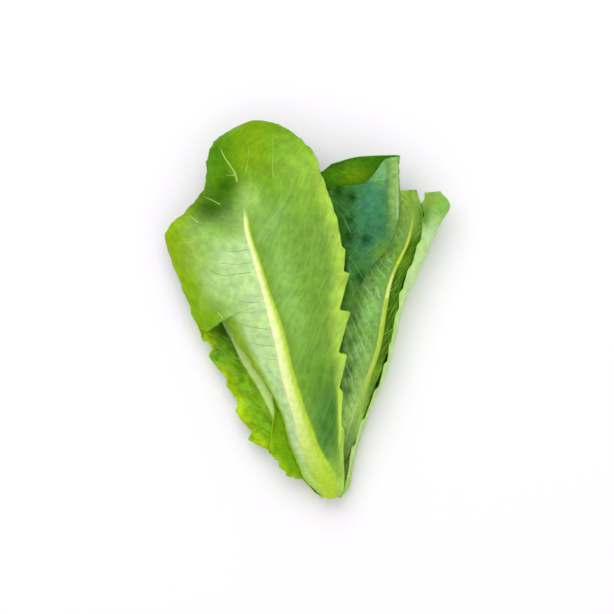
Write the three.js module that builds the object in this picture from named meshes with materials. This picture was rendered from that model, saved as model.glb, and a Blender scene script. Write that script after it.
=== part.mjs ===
// A small romaine lettuce head, lying on its back leaf: loose leaves round a short cut stem.
// Millimetres, +Z up. The butt lies towards -Y and the leaf tips towards +Y. The origin is on the
// resting plane, under the middle of the head's bounding box.
import * as THREE from "three";

// ---------- Driving dimensions ----------

const BLADE = 0.9; // thickness of a leaf blade
const EDGE_BLADE = 0.65; // thickness at the very edge of a blade
const EDGE_TAPER = 4; // how far from its edge a blade starts to thin
const TOOTH_REACH = 9; // how far from the edge a tooth still pulls the blade
const TOOTH_RISE = 0.22; // the share of a tooth's run that its steep upper side takes
const TOOTH_LEVEL = 0.5; // the share of its edge's slope that a tooth keeps
const CREASE_FADE = 0.12; // the share of a leaf's length over which its crease fades
const RIB_RAIL = 1; // every leaf's second rail, from the left, runs along its rib
const MOST_RIB = 0.7; // the largest share of a half blade that the rib may take

const STEM = {
  x: 15,
  z: 12.4,
  cutY: -124.5, // the plane of the cut
  cutRadius: 3.9,
  bodyRadius: 5.3,
  length: 11, // from the cut to the top of the dome that the heart leaves grow from
  sides: 24,
  colour: 0xc8d890,
};

const LEAF_ROUGHNESS = 0.5;

// ---------- Rules for what repeats ----------

// A small random generator, so that a seed always gives the same head.
function seeded(seed) {
  let state = seed;
  return () => {
    state = (state * 1664525 + 1013904223) % 4294967296;
    return state / 4294967296;
  };
}

// The teeth of an edge, each as [where its upper end is, its depth, its run], with places and runs
// as shares of the leaf's length. They follow each other from one end of the stretch to the other.
function teethByRule({ seed, from, to, pitch, depth }) {
  const random = seeded(seed);
  const teeth = [];
  let place = from;
  while (place < to) {
    const run = pitch * (0.7 + 0.6 * random());
    place += run;
    teeth.push([place, depth * (0.6 + 0.8 * random()), run]);
  }
  return teeth;
}

// ---------- The leaves ----------

// Each leaf is a sheet stretched over rails, which run from the butt to the tip and are listed from
// its left edge to its right edge as seen from above. Between two rails the sheet arches by a share
// of their distance. The other entries are:
//   outer    1 where the leaf's outer side faces up, -1 where it faces down
//   rib      [place, width, height] along the rib, which stands out on the outer side
//   crease   the place along the rib where its crease starts to fade
//   rows     the number of steps from butt to tip
//   columns  the number of steps left and right of the rib
//   wave     how the edges ripple, up and down
//   dents    [x, y, radius, depth] of the hollows pressed into the sheet from above
const leafForms = {
  // The big leaf on top, outer side up, with a broad lobe at its tip.
  front_leaf: {
    outer: 1,
    arches: [0.08, 0.06],
    rib: [
      [0, 8, 1.8],
      [0.07, 14, 3],
      [0.15, 18, 3.6],
      [0.24, 13.4, 3.4],
      [0.34, 10.6, 3.2],
      [0.45, 8.4, 2.8],
      [0.58, 5.2, 2.2],
      [0.68, 3.6, 1.2],
      [0.76, 2.6, 0.3],
      [1, 1.6, 0],
    ],
    rows: 40,
    columns: [6, 5],
    length: 265,
    crease: 0.68,
    wave: { height: 1.6, pitch: 27, reach: 16 },
    teeth: {
      left: [
        [0.335, 1, 0.03],
        [0.372, 1.2, 0.03],
        [0.412, 2.4, 0.038],
        [0.463, 2.2, 0.04],
        ...teethByRule({ seed: 11, from: 0.5, to: 0.95, pitch: 0.036, depth: 1.5 }),
      ],
      right: [
        [0.26, 2, 0.06],
        [0.331, 3, 0.06],
        [0.384, 7.4, 0.056],
        [0.46, 10.4, 0.076],
        [0.548, 6.4, 0.088],
        [0.6, 2.4, 0.05],
        ...teethByRule({ seed: 12, from: 0.63, to: 0.9, pitch: 0.05, depth: 1 }),
      ],
    },
    dents: [
      [-66, 66, 24, 9],
      [-47, 80, 16, 4],
      [-38, 74, 12, -2],
    ],
    colour: 0x8fbf4f,
    rails: [
      // left edge
      [
        [11, -124.5, 15], [5.5, -120, 16], [-2.5, -112, 18], [-7.5, -100.5, 19],
        [-13, -87.5, 20.5], [-17.5, -69.5, 22], [-29.5, -47, 23], [-43, -26.5, 24.5],
        [-58, -3.5, 27.5], [-69, -15, 16.5], [-82.5, 14, 15.5], [-94, 48.5, 17], [-80, 65.5, 23],
        [-68, 81, 30], [-66, 100, 30], [-61.5, 111, 28], [-54, 117, 26],
      ],
      // rib
      [
        [15, -124.5, 17.5], [14, -119, 21], [12, -112.5, 25], [5.5, -101.5, 30], [-1, -86, 35],
        [-6.5, -67.5, 39.5], [-13, -45, 43.5], [-18, -21.5, 46.5], [-23, -3, 48.5],
        [-27.5, 11.5, 50], [-33.5, 31.5, 51], [-39.5, 51, 51], [-41.5, 68.5, 50],
        [-45.5, 85.5, 46], [-49, 100, 42], [-44, 115, 36.5], [-36.5, 124.5, 31],
      ],
      // right edge
      [
        [19.5, -124.5, 15], [23, -120, 16.5], [24, -112.5, 18.5], [23.5, -98, 23],
        [22.5, -79.5, 28], [21, -58.5, 32], [20.5, -31.5, 35], [20.5, -7.5, 36.5],
        [22, 13, 37.5], [23.5, 30, 38.5], [21, 50, 38.5], [16, 68.5, 38.5], [9, 87.5, 37.5],
        [4, 102.5, 36], [-3.5, 110.5, 34], [-11, 117.5, 31], [-20, 122.5, 28.5],
      ],
    ],
  },
  // Nested under the front leaf, outer side up.
  front_inner_leaf: {
    outer: 1,
    arches: [0.07, 0.05],
    rib: [[0, 5, 0.7], [0.15, 8, 1.6], [0.4, 6, 1.4], [0.7, 3, 1], [1, 1.4, 0.2]],
    rows: 24,
    columns: [4, 4],
    length: 190,
    crease: 0.8,
    wave: { height: 0.9, pitch: 25, reach: 10 },
    teeth: {
      left: teethByRule({ seed: 91, from: 0.3, to: 0.95, pitch: 0.08, depth: 1.6 }),
      right: teethByRule({ seed: 92, from: 0.3, to: 0.95, pitch: 0.08, depth: 1.6 }),
    },
    dents: [],
    colour: 0xa3c75f,
    rails: [
      // left edge
      [
        [8.5, -117.5, 17], [2.5, -108.5, 18.5], [-3.5, -97.5, 20.5], [-8, -82, 23.5],
        [-14.5, -61, 27], [-25, -37.5, 28.5], [-37.5, -15, 28.5], [-47, 5, 28.5],
        [-52, 23.5, 28.5], [-54, 40.5, 28.5], [-51.5, 55, 29.5], [-45, 64.5, 31],
      ],
      // rib
      [
        [13.5, -117.5, 19.5], [10.5, -108.5, 22], [6, -98, 25], [0, -83, 29.5], [-6, -63, 34],
        [-12, -40, 38], [-16, -17, 41], [-19, 3, 42.5], [-22.5, 21, 43], [-26.5, 38, 42],
        [-30.5, 52.5, 39.5], [-33, 65.5, 36],
      ],
      // right edge
      [
        [18.5, -117.5, 17], [18, -108.5, 19], [16.5, -96.5, 22], [14.5, -79.5, 26],
        [12.5, -58.5, 30], [12.5, -34.5, 33], [13, -11, 35], [13, 10, 36], [11, 28.5, 36],
        [5.5, 46, 35.5], [-5.5, 58, 35], [-19, 64.5, 35],
      ],
    ],
  },
  // The ragged leaf at the left, lying on its rib, inner side up.
  left_leaf: {
    outer: -1,
    arches: [-0.1, -0.06],
    rib: [
      [0, 5, 1.8],
      [0.12, 9, 3.4],
      [0.3, 8, 3.4],
      [0.42, 7.6, 3],
      [0.51, 9.4, 2.8],
      [0.59, 8.4, 2.4],
      [0.68, 6, 1.8],
      [0.76, 3, 1],
      [1, 1.4, 0.3],
    ],
    rows: 34,
    columns: [4, 4],
    length: 185,
    crease: 0.85,
    wave: { height: 2.2, pitch: 21, reach: 14 },
    teeth: {
      left: [
        [0.255, 2, 0.06],
        [0.325, 3, 0.07],
        [0.412, 6.6, 0.085],
        [0.495, 5, 0.08],
        [0.572, 3, 0.07],
        [0.66, 7, 0.085],
        ...teethByRule({ seed: 21, from: 0.7, to: 0.95, pitch: 0.06, depth: 1.6 }),
      ],
      right: teethByRule({ seed: 22, from: 0.2, to: 0.95, pitch: 0.08, depth: 1 }),
    },
    dents: [],
    colour: 0x7cb518,
    rails: [
      // left edge
      [
        [10.5, -124.5, 13], [4.5, -121, 13], [-3.5, -112.5, 12.5], [-16, -100.5, 11.5],
        [-27.5, -92, 11.5], [-38.5, -80, 11], [-47, -61, 11], [-55, -44, 11], [-64.5, -24, 11.5],
        [-70.5, -19, 11.5], [-74, -1.5, 11], [-76.5, 16, 11], [-73.5, 36.5, 12.5],
      ],
      // rib
      [
        [10.5, -124.5, 10], [7.5, -119, 8.6], [2, -112.5, 8], [-4, -101.5, 7], [-15, -87, 6],
        [-21, -69, 5.4], [-29, -51, 4.8], [-40, -34, 4], [-49, -18, 2.8], [-58.5, -2.5, 1.7],
        [-66, 13.5, 1.7], [-68.5, 28.5, 4], [-66.5, 40, 9],
      ],
      // right edge
      [
        [11, -124.5, 8.4], [9.5, -119, 7.8], [8, -112.5, 7.6], [6, -100.5, 7.4], [2.5, -88, 7],
        [-0.5, -71.5, 7], [-4, -55, 7.8], [-6.5, -38.5, 9.5], [-12, -23.5, 11],
        [-18.5, -8, 12.5], [-27.5, 6.5, 13.5], [-41, 22, 13.5], [-57, 34.5, 14],
      ],
    ],
  },
  // A small leaf between the front and left leaves.
  heart_leaf_left: {
    outer: -1,
    arches: [-0.06, -0.06],
    rib: [[0, 3, 0.8], [0.2, 5, 1.4], [0.6, 3, 0.8], [1, 1.2, 0.2]],
    rows: 18,
    columns: [3, 3],
    length: 125,
    crease: 0.85,
    wave: { height: 0.8, pitch: 20, reach: 8 },
    teeth: {
      left: teethByRule({ seed: 31, from: 0.12, to: 0.9, pitch: 0.1, depth: 1.8 }),
      right: [],
    },
    dents: [],
    colour: 0x70a808,
    rails: [
      // left edge
      [
        [10.5, -111, 16.5], [-2.5, -112, 16.5], [-12.5, -109.5, 16], [-20.5, -99.5, 16.5],
        [-25, -92.5, 17], [-24, -79.5, 17.5], [-22.5, -63, 18], [-28.5, -34.5, 19],
        [-33, -8, 23],
      ],
      // rib
      [
        [9, -111, 14], [4, -104, 14.5], [-0.5, -94.5, 16], [-6, -82, 17.5], [-10.5, -67, 19],
        [-14.5, -49, 20.5], [-18.5, -29.5, 22.5], [-22.5, -9.5, 25], [-25, 7.5, 27],
      ],
      // right edge
      [
        [10, -111, 12], [8, -100.5, 14.5], [7, -89, 16.5], [6, -75, 18.5], [4.5, -58.5, 20.5],
        [2.5, -40, 23], [-0.5, -21, 25.5], [-6, -3, 28], [-14, 7.5, 29.5],
      ],
    ],
  },
  // The tall leaf beside the front leaf; its right side is folded back over it.
  right_inner_leaf: {
    outer: -1,
    arches: [-0.05, -0.06, -0.07],
    rib: [[0, 3, 0.8], [0.15, 5, 1.6], [0.5, 4, 1.4], [0.8, 2, 0.8], [1, 1.2, 0.2]],
    rows: 32,
    columns: [3, 8],
    length: 215,
    crease: 0.75,
    wave: { height: 0.9, pitch: 24, reach: 8 },
    teeth: {
      left: teethByRule({ seed: 41, from: 0.3, to: 0.95, pitch: 0.07, depth: 1.8 }),
      right: teethByRule({ seed: 42, from: 0.5, to: 0.95, pitch: 0.07, depth: 1.4 }),
    },
    dents: [
      [20, 77, 6, 1.4],
      [29, 72, 5, 1.6],
      [28, 58, 6, 1.6],
      [27, 47, 6, 1.6],
      [38, 44, 6, 1.6],
      [34, 20, 7, 1.6],
      [46, 60, 6, 1],
    ],
    colour: 0x46865a,
    rails: [
      // left edge
      [
        [12.5, -111, 17], [10, -96.5, 18], [3.5, -78, 21.5], [-0.5, -57, 25], [-2.5, -32, 28],
        [-3.5, -10, 30], [-2, 9.5, 31], [0, 26, 32], [0.5, 44.5, 32.5], [1.5, 63, 33],
        [3.5, 77.5, 33], [8.5, 89.5, 32], [16.5, 96.5, 31],
      ],
      // rib
      [
        [14.5, -111, 16], [16.5, -96, 17], [16.5, -76, 19.5], [16.5, -53, 22.5], [18, -27.5, 25],
        [20, -5, 27], [23, 15, 28], [27, 30, 28.5], [31.5, 47, 29], [35.5, 64.5, 29.5],
        [37, 79, 29.5], [36.5, 92, 29.5], [35.5, 101, 30],
      ],
      // fold
      [
        [15.5, -111, 15.5], [20.5, -95.5, 18], [21.5, -75, 21.5], [22, -51, 25], [23, -24, 28],
        [27.5, -0.5, 29.5], [34.5, 17, 31], [45, 31.5, 32], [56, 48, 33.5], [60, 64.5, 34],
        [60, 79, 34.5], [60, 91, 35], [60, 101.5, 35],
      ],
      // right edge
      [
        [15.5, -111, 15], [18.5, -94.5, 19.5], [18.5, -73.5, 23], [18.5, -49, 26.5],
        [18, -22, 29.5], [18.5, 2.5, 31], [18, 20, 32.5], [15, 36.5, 33.5], [11, 54, 34],
        [8.5, 71, 35], [19, 80.5, 36], [37, 83, 37], [52, 99.5, 37],
      ],
    ],
  },
  // The crinkled leaf in the middle of the right group, inner side up.
  right_middle_leaf: {
    outer: -1,
    arches: [-0.05, -0.05],
    rib: [[0, 3, 0.8], [0.15, 5.4, 1.8], [0.5, 4, 1.6], [0.8, 2.6, 1], [1, 1.4, 0.2]],
    rows: 30,
    columns: [4, 4],
    length: 195,
    crease: 0.85,
    wave: { height: 1, pitch: 19, reach: 8 },
    teeth: {
      left: [],
      right: [
        [0.38, 1.4, 0.06],
        [0.47, 1.8, 0.08],
        [0.6, 1.6, 0.12],
        [0.74, 2.2, 0.08],
        [0.8, 1.6, 0.05],
        [0.87, 2.6, 0.06],
      ],
    },
    dents: [],
    colour: 0x6e9b45,
    rails: [
      // left edge
      [
        [14.5, -111, 10.5], [16.5, -96.5, 10], [16.5, -81.5, 10.5], [16, -66.5, 12],
        [16, -48.5, 14.5], [17, -30, 17], [19, -10, 19.5], [22, 7.5, 22], [25.5, 23, 24],
        [31.5, 39.5, 25.5], [41.5, 58, 27], [56, 78.5, 28],
      ],
      // rib
      [
        [15.5, -111, 12.5], [24.5, -96, 12], [30, -79.5, 13], [35, -63, 14.5], [40.5, -45, 16.5],
        [47, -25, 18.5], [50.5, -2.5, 20.5], [54, 16, 22], [59, 29.5, 23], [66, 44.5, 24],
        [69.5, 61.5, 25.5], [67.5, 79, 27.5],
      ],
      // right edge
      [
        [16, -111, 14.5], [27.5, -94.5, 14.5], [34.5, -77.5, 16], [41, -59.5, 17.5],
        [48, -40.5, 19.5], [55, -20, 21.5], [59, 2.5, 23], [64, 22, 24.5], [71.5, 36, 25.5],
        [75, 48.5, 26.5], [76, 63.5, 28], [71.5, 79, 28.5],
      ],
    ],
  },
  // The outermost leaf at the right; it lies on its rib and its right side leans back in.
  right_outer_leaf: {
    outer: -1,
    arches: [-0.05, -0.08, -0.1],
    rib: [[0, 5, 1.8], [0.12, 9, 3], [0.3, 8, 3], [0.6, 5, 2], [1, 1.6, 0.3]],
    rows: 34,
    columns: [3, 6],
    length: 215,
    crease: 0.85,
    wave: { height: 0.9, pitch: 23, reach: 8 },
    teeth: {
      left: teethByRule({ seed: 61, from: 0.3, to: 0.95, pitch: 0.08, depth: 2 }),
      right: teethByRule({ seed: 62, from: 0.2, to: 0.93, pitch: 0.075, depth: 2.2 }),
    },
    dents: [],
    colour: 0xaecd8f,
    rails: [
      // left edge
      [
        [18.5, -124.5, 8], [20, -119, 6.6], [22.5, -113, 6], [22, -100.5, 6.2], [23, -82, 6.4],
        [25.5, -61.5, 6.6], [29.5, -40, 6.8], [33, -20, 7], [37, -0.5, 7], [43.5, 19.5, 7.4],
        [53, 36.5, 9], [62, 51, 12.5], [70, 63.5, 17], [77, 72.5, 20],
      ],
      // rib
      [
        [20, -124.5, 10], [23, -119, 9], [25, -114, 8], [27.5, -100, 6.4], [33, -81.5, 4.8],
        [40.5, -61, 3.6], [49, -39.5, 2.4], [53.5, -19, 1.6], [57.5, 1.5, 1.4], [63.5, 21, 2.2],
        [72, 38.5, 10], [78.5, 54, 13], [83, 67, 17], [83, 75.5, 21],
      ],
      // fold
      [
        [20.5, -124.5, 11.5], [24, -119, 12], [26, -113, 12.5], [29.5, -98.5, 13],
        [35.5, -79, 14.5], [44, -60.5, 15.5], [53.5, -37.5, 17], [58.5, -17, 18.5],
        [63.5, 3, 20], [72.5, 23, 21.5], [81, 42, 23], [87, 56, 24.5], [93.5, 68.5, 26],
        [87, 78, 27],
      ],
      // right edge
      [
        [20, -124.5, 13], [23.5, -119, 15], [25.5, -112.5, 16.5], [29, -97.5, 18.5],
        [35.5, -77, 20.5], [44, -58.5, 22.5], [52, -36, 24.5], [56, -17.5, 26.5], [60, 0.5, 28],
        [64, 17.5, 29.5], [72, 38.5, 30.5], [76.5, 54, 31.5], [76.5, 67, 31.5], [77, 77, 30.5],
      ],
    ],
  },
  // The outer leaf on the underside, which the head lies on.
  back_leaf: {
    outer: -1,
    arches: [-0.03, -0.03],
    rib: [[0, 5, 1.8], [0.12, 11, 3.2], [0.3, 9, 3.2], [0.6, 6, 2], [1, 1.6, 0.3]],
    rows: 26,
    columns: [4, 3],
    length: 195,
    crease: 0.85,
    wave: { height: 0.8, pitch: 24, reach: 10 },
    teeth: {
      left: teethByRule({ seed: 71, from: 0.4, to: 0.95, pitch: 0.07, depth: 1.2 }),
      right: teethByRule({ seed: 72, from: 0.2, to: 0.95, pitch: 0.07, depth: 2 }),
    },
    dents: [],
    colour: 0x9cc56a,
    rails: [
      // left edge
      [
        [13.5, -124.5, 7.2], [12.5, -119, 5.4], [10, -112.5, 4.2], [5, -96.5, 3.4],
        [-2.5, -74, 3.2], [-9, -49, 2.6], [-15, -24, 2.4], [-20.5, 1, 3.5], [-22, 27.5, 6],
        [-17, 47, 9], [-9, 60.5, 11],
      ],
      // rib
      [
        [15, -124.5, 7], [15, -119, 5], [14.5, -112.5, 3.6], [12.5, -96, 2.7], [9, -73, 2.4],
        [6.5, -46.5, 2.1], [4, -20, 1.7], [2, 6.5, 1.6], [0.5, 32.5, 3.5], [0, 54, 6.5],
        [1.5, 67, 10],
      ],
      // right edge
      [
        [17, -124.5, 7.4], [18, -119, 5.6], [19.5, -112.5, 4.2], [20.5, -96, 3.6],
        [22, -73.5, 3.2], [24, -48.5, 2.6], [25.5, -23, 2.8], [27.5, 3.5, 4], [27.5, 30, 7],
        [24.5, 50, 10], [14.5, 63, 12],
      ],
    ],
  },
  // A small inner leaf just above the back leaf.
  heart_leaf_back: {
    outer: -1,
    arches: [-0.05, -0.05],
    rib: [[0, 3, 0.8], [0.2, 5, 1.3], [0.6, 3, 0.8], [1, 1.2, 0.2]],
    rows: 18,
    columns: [3, 3],
    length: 155,
    crease: 0.85,
    wave: { height: 0.7, pitch: 20, reach: 8 },
    teeth: {
      left: [],
      right: [],
    },
    dents: [],
    colour: 0xb4d46c,
    rails: [
      // left edge
      [
        [11, -111, 10.5], [6, -97.5, 10.5], [-2.5, -75.5, 11.5], [-8.5, -50.5, 13],
        [-12, -25.5, 14.5], [-14.5, -0.5, 16.5], [-14.5, 22, 18.5], [-10.5, 35.5, 20.5],
      ],
      // rib
      [
        [12.5, -111, 10], [10, -96, 9.5], [4.5, -73, 10], [1.5, -46.5, 11.5], [-1.5, -20, 13],
        [-3.5, 6.5, 14.5], [-4, 29.5, 17.5], [-3.5, 42, 20],
      ],
      // right edge
      [
        [13.5, -111, 10], [14, -96.5, 10], [12, -74, 11], [12, -48, 13], [12.5, -21.5, 15],
        [12.5, 3.5, 17], [10, 26, 19.5], [4.5, 39.5, 21],
      ],
    ],
  },
  // The small leaf in the middle of the heart.
  heart_leaf_middle: {
    outer: -1,
    arches: [-0.05, -0.05],
    rib: [[0, 2.4, 0.5], [0.2, 4, 1.1], [0.6, 3, 0.7], [1, 1.2, 0.2]],
    rows: 18,
    columns: [3, 3],
    length: 150,
    crease: 0.85,
    wave: { height: 0.8, pitch: 18, reach: 7 },
    teeth: {
      left: [],
      right: [],
    },
    dents: [],
    colour: 0xc6dc7c,
    rails: [
      // left edge
      [
        [11, -108.5, 13.5], [7.5, -96.5, 12.5], [-1.5, -75.5, 14], [-5.5, -50.5, 17],
        [-6, -24, 20], [-5.5, -3, 22.5], [-3.5, 17, 24], [0, 31.5, 25],
      ],
      // rib
      [
        [12, -108.5, 13], [9, -96, 12.5], [5.5, -73, 13.5], [3.5, -46.5, 16], [4, -20, 18.5],
        [4.5, 3, 20.5], [4.5, 25, 22.5], [4.5, 38, 25],
      ],
      // right edge
      [
        [13, -108.5, 14], [12, -96.5, 13.5], [13, -73.5, 15], [14.5, -47, 18.5],
        [15, -21.5, 21.5], [16, 1, 23.5], [14.5, 21.5, 24.5], [10.5, 34.5, 25.5],
      ],
    ],
  },
};

// ---------- Curves and sections ----------

const clamp01 = (t) => Math.min(Math.max(t, 0), 1);
const smooth = (t) => t * t * (3 - 2 * t);

// The rib's width and height at u, eased between the places that the leaf states.
function ribAt(rib, u) {
  const k = Math.max(rib.findIndex(([place]) => u <= place), 1);
  const [u0, width0, height0] = rib[k - 1];
  const [u1, width1, height1] = rib[k];
  const t = smooth(clamp01((u - u0) / (u1 - u0)));
  return { half: (width0 + (width1 - width0) * t) / 2, height: height0 + (height1 - height0) * t };
}

// How far an edge stands out at u. A tooth rises steeply from its upper end and then falls away
// slowly towards the butt.
function toothAt(teeth, u) {
  const tooth = teeth.find(([top, , run]) => u <= top && u > top - run);
  if (!tooth) return 0;
  const [top, depth, run] = tooth;
  const below = (top - u) / run;
  return depth * smooth(clamp01(below / TOOTH_RISE)) * (1 - below);
}

// The slopes, at its two ends, of the arched panel between two rails.
function panelSlopes(from, to, arch) {
  const chord = to.clone().sub(from);
  const across = Math.hypot(chord.x, chord.z) || 1;
  const rise = new THREE.Vector3(-chord.z, 0, chord.x).multiplyScalar((arch * chord.length()) / across);
  return {
    start: chord.clone().addScaledVector(rise, 4),
    end: chord.clone().addScaledVector(rise, -4),
  };
}

// A leaf's cross-section at u. Its point is asked for by v, which counts the rails from the left.
// The section is creased at the rib, up to where the crease fades, and runs smoothly through a fold.
function sectionAt(leaf, u) {
  const posts = leaf.curves.map((curve) => curve.getPoint(u));
  const panels = leaf.arches.map((arch, k) => panelSlopes(posts[k], posts[k + 1], arch));
  const uncreased = smooth(clamp01((u - leaf.crease) / CREASE_FADE));
  for (let k = RIB_RAIL; k < panels.length; k++) {
    const slope = panels[k - 1].end.clone().add(panels[k].start).multiplyScalar(0.5);
    const share = k === RIB_RAIL ? uncreased : 1;
    panels[k - 1].end.lerp(slope, share);
    panels[k].start.lerp(slope, share);
  }
  const pointAt = (v) => {
    const k = Math.min(Math.max(Math.floor(v), 0), panels.length - 1);
    const t = v - k;
    const t2 = t * t;
    const t3 = t2 * t;
    return new THREE.Vector3()
      .addScaledVector(posts[k], 2 * t3 - 3 * t2 + 1)
      .addScaledVector(panels[k].start, t3 - 2 * t2 + t)
      .addScaledVector(posts[k + 1], 3 * t2 - 2 * t3)
      .addScaledVector(panels[k].end, t3 - t2);
  };
  const widths = posts.slice(1).map((post, k) => post.distanceTo(posts[k]));
  const last = posts.length - 1;
  const wayOut = (edge, inside) => {
    const way = pointAt(edge).sub(pointAt(inside));
    way.z *= TOOTH_LEVEL;
    return way.normalize();
  };
  const edgeStep = 0.1;
  const outward = { left: wayOut(0, edgeStep), right: wayOut(last, last - edgeStep) };
  return { pointAt, widths, last, outward, ribPoint: posts[RIB_RAIL] };
}

// Where a row's columns stand: even over the blade, and close together over the rib.
function columnsAt(leaf, section, ribHalf) {
  const [leftSteps, rightSteps] = leaf.columns;
  const left = RIB_RAIL - Math.min(ribHalf / section.widths[RIB_RAIL - 1], MOST_RIB);
  const right = RIB_RAIL + Math.min(ribHalf / section.widths[RIB_RAIL], MOST_RIB);
  const columns = [];
  for (let i = 0; i < leftSteps; i++) columns.push((left * i) / leftSteps);
  columns.push(left, (left + RIB_RAIL) / 2, RIB_RAIL, (right + RIB_RAIL) / 2, right);
  for (let i = 1; i <= rightSteps; i++) columns.push(right + ((section.last - right) * i) / rightSteps);
  return columns;
}

// ---------- Leaf solids ----------

// One point of a leaf's middle surface, with the blade's thickness and the rib's rise there.
function cellAt(leaf, u, v, section, rib) {
  const point = section.pointAt(v);
  const ribShare = point.distanceTo(section.ribPoint) / rib.half;
  const isLeft = v < RIB_RAIL;
  const halfWidth = isLeft
    ? section.widths[0]
    : section.widths.slice(RIB_RAIL).reduce((sum, width) => sum + width, 0);
  const share = isLeft ? RIB_RAIL - v : (v - RIB_RAIL) / (section.last - RIB_RAIL);
  const toEdge = (1 - share) * halfWidth;
  const toTip = (1 - u) * leaf.length;

  const tooth = toothAt(isLeft ? leaf.teeth.left : leaf.teeth.right, u);
  const toothShare = clamp01(1 - toEdge / TOOTH_REACH);
  point.addScaledVector(isLeft ? section.outward.left : section.outward.right, tooth * toothShare ** 2);

  const calmButt = clamp01(u * 6 - 0.6);
  const edgeness = clamp01(1 - Math.min(toEdge, toTip) / leaf.wave.reach) * calmButt;
  const turns = (u * leaf.length) / leaf.wave.pitch + share * 0.3 + (isLeft ? 0 : 0.4);
  point.z += leaf.wave.height * edgeness * Math.sin(2 * Math.PI * turns);

  for (const [x, y, radius, depth] of leaf.dents) {
    const away = Math.hypot(point.x - x, point.y - y) / radius;
    point.z -= depth * smooth(clamp01(1 - away));
  }
  return {
    point,
    blade: EDGE_BLADE + (BLADE - EDGE_BLADE) * clamp01(toEdge / EDGE_TAPER),
    ridge: rib.height * clamp01(1 - ribShare ** 2) ** 1.5,
  };
}

function leafCells(leaf) {
  const cells = [];
  for (let i = 0; i <= leaf.rows; i++) {
    const u = i / leaf.rows;
    const section = sectionAt(leaf, u);
    const rib = ribAt(leaf.rib, u);
    cells.push(columnsAt(leaf, section, rib.half).map((v) => cellAt(leaf, u, v, section, rib)));
  }
  return cells;
}

// The direction of a leaf's outer side at a cell, from the cell's neighbours.
function outerNormal(cells, i, j, outer) {
  const [low, high] = [Math.max(i - 1, 0), Math.min(i + 1, cells.length - 1)];
  const [left, right] = [Math.max(j - 1, 0), Math.min(j + 1, cells[i].length - 1)];
  const along = cells[high][j].point.clone().sub(cells[low][j].point);
  const across = cells[i][right].point.clone().sub(cells[i][left].point);
  const normal = across.cross(along);
  if (i === 0) normal.y = 0; // the cut end stays flat
  return normal.normalize().multiplyScalar(outer);
}

// A closed leaf: both faces are split into triangles alike, and a rim joins them. Where the outer
// face would reach under the resting plane it lies flat on it.
function leafGeometry(leaf) {
  const cells = leafCells(leaf);
  const [rowCount, width] = [cells.length, cells[0].length];
  const outerFace = [];
  const innerFace = [];
  cells.forEach((row, i) =>
    row.forEach(({ point, blade, ridge }, j) => {
      const normal = outerNormal(cells, i, j, leaf.outer);
      const outside = point.clone().addScaledVector(normal, blade / 2 + ridge);
      const inside = point.clone().addScaledVector(normal, -blade / 2);
      const lift = Math.max(0, -outside.z, -inside.z);
      outerFace.push(outside.x, outside.y, outside.z + lift);
      innerFace.push(inside.x, inside.y, inside.z + lift);
    }),
  );

  const other = rowCount * width; // from a vertex of the outer face to its partner
  const triangles = [];
  for (let i = 0; i < rowCount - 1; i++) {
    for (let j = 0; j < width - 1; j++) {
      const a = i * width + j;
      const [b, c, d] = [a + 1, a + width + 1, a + width];
      triangles.push([a, b, c], [a, c, d]);
      triangles.push([other + a, other + c, other + b], [other + a, other + d, other + c]);
    }
  }
  for (const [a, b] of rimSteps(rowCount, width)) {
    triangles.push([a, b, other + b], [a, other + b, other + a]);
  }
  const index = triangles.flatMap(([a, b, c]) => (leaf.outer > 0 ? [a, b, c] : [a, c, b]));

  const geometry = new THREE.BufferGeometry();
  geometry.setAttribute("position", new THREE.Float32BufferAttribute([...outerFace, ...innerFace], 3));
  geometry.setIndex(index);
  geometry.computeVertexNormals();
  return geometry;
}

// The steps round a grid's boundary, against the turn of its faces.
function rimSteps(rowCount, width) {
  const steps = [];
  const top = (rowCount - 1) * width;
  for (let j = 0; j < width - 1; j++) steps.push([j + 1, j], [top + j, top + j + 1]);
  for (let start = 0; start < top; start += width) {
    const end = start + width - 1;
    steps.push([start, start + width], [end + width, end]);
  }
  return steps;
}

// ---------- The stem ----------

// A short stem: a flat cut, a swelling and a dome.
function stemGeometry() {
  const profile = [
    [0, 0],
    [STEM.cutRadius, 0],
    [STEM.bodyRadius * 0.85, STEM.length * 0.25],
    [STEM.bodyRadius, STEM.length * 0.55],
    [STEM.bodyRadius * 0.8, STEM.length * 0.82],
    [STEM.bodyRadius * 0.4, STEM.length * 0.97],
    [0, STEM.length],
  ];
  const points = profile.map(([radius, y]) => new THREE.Vector2(radius, y));
  return new THREE.LatheGeometry(points, STEM.sides);
}

// ---------- The head ----------

function addPiece(group, name, geometry, colour) {
  const material = new THREE.MeshStandardMaterial({
    color: colour,
    roughness: LEAF_ROUGHNESS,
    metalness: 0,
  });
  const piece = new THREE.Mesh(geometry, material);
  piece.name = name;
  group.add(piece);
  return piece;
}

const head = new THREE.Group();

for (const [name, form] of Object.entries(leafForms)) {
  const curves = form.rails.map((rail) => {
    const points = rail.map(([x, y, z]) => new THREE.Vector3(x, y, z));
    return new THREE.CatmullRomCurve3(points, false, "catmullrom");
  });
  addPiece(head, name, leafGeometry({ ...form, curves }), form.colour);
}

const stem = addPiece(head, "stem_butt", stemGeometry(), STEM.colour);
stem.position.set(STEM.x, STEM.cutY, STEM.z);

export default head;
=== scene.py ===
"""A romaine lettuce head lying on its back leaf, seen from straight above.

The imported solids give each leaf's place. Every leaf is made again here on the same rails, but fine
enough for its teeth, blisters and veins, and takes its colours from its own coordinates. Lengths in
the tables are millimetres, and MM turns them into metres.
"""

import math

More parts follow.
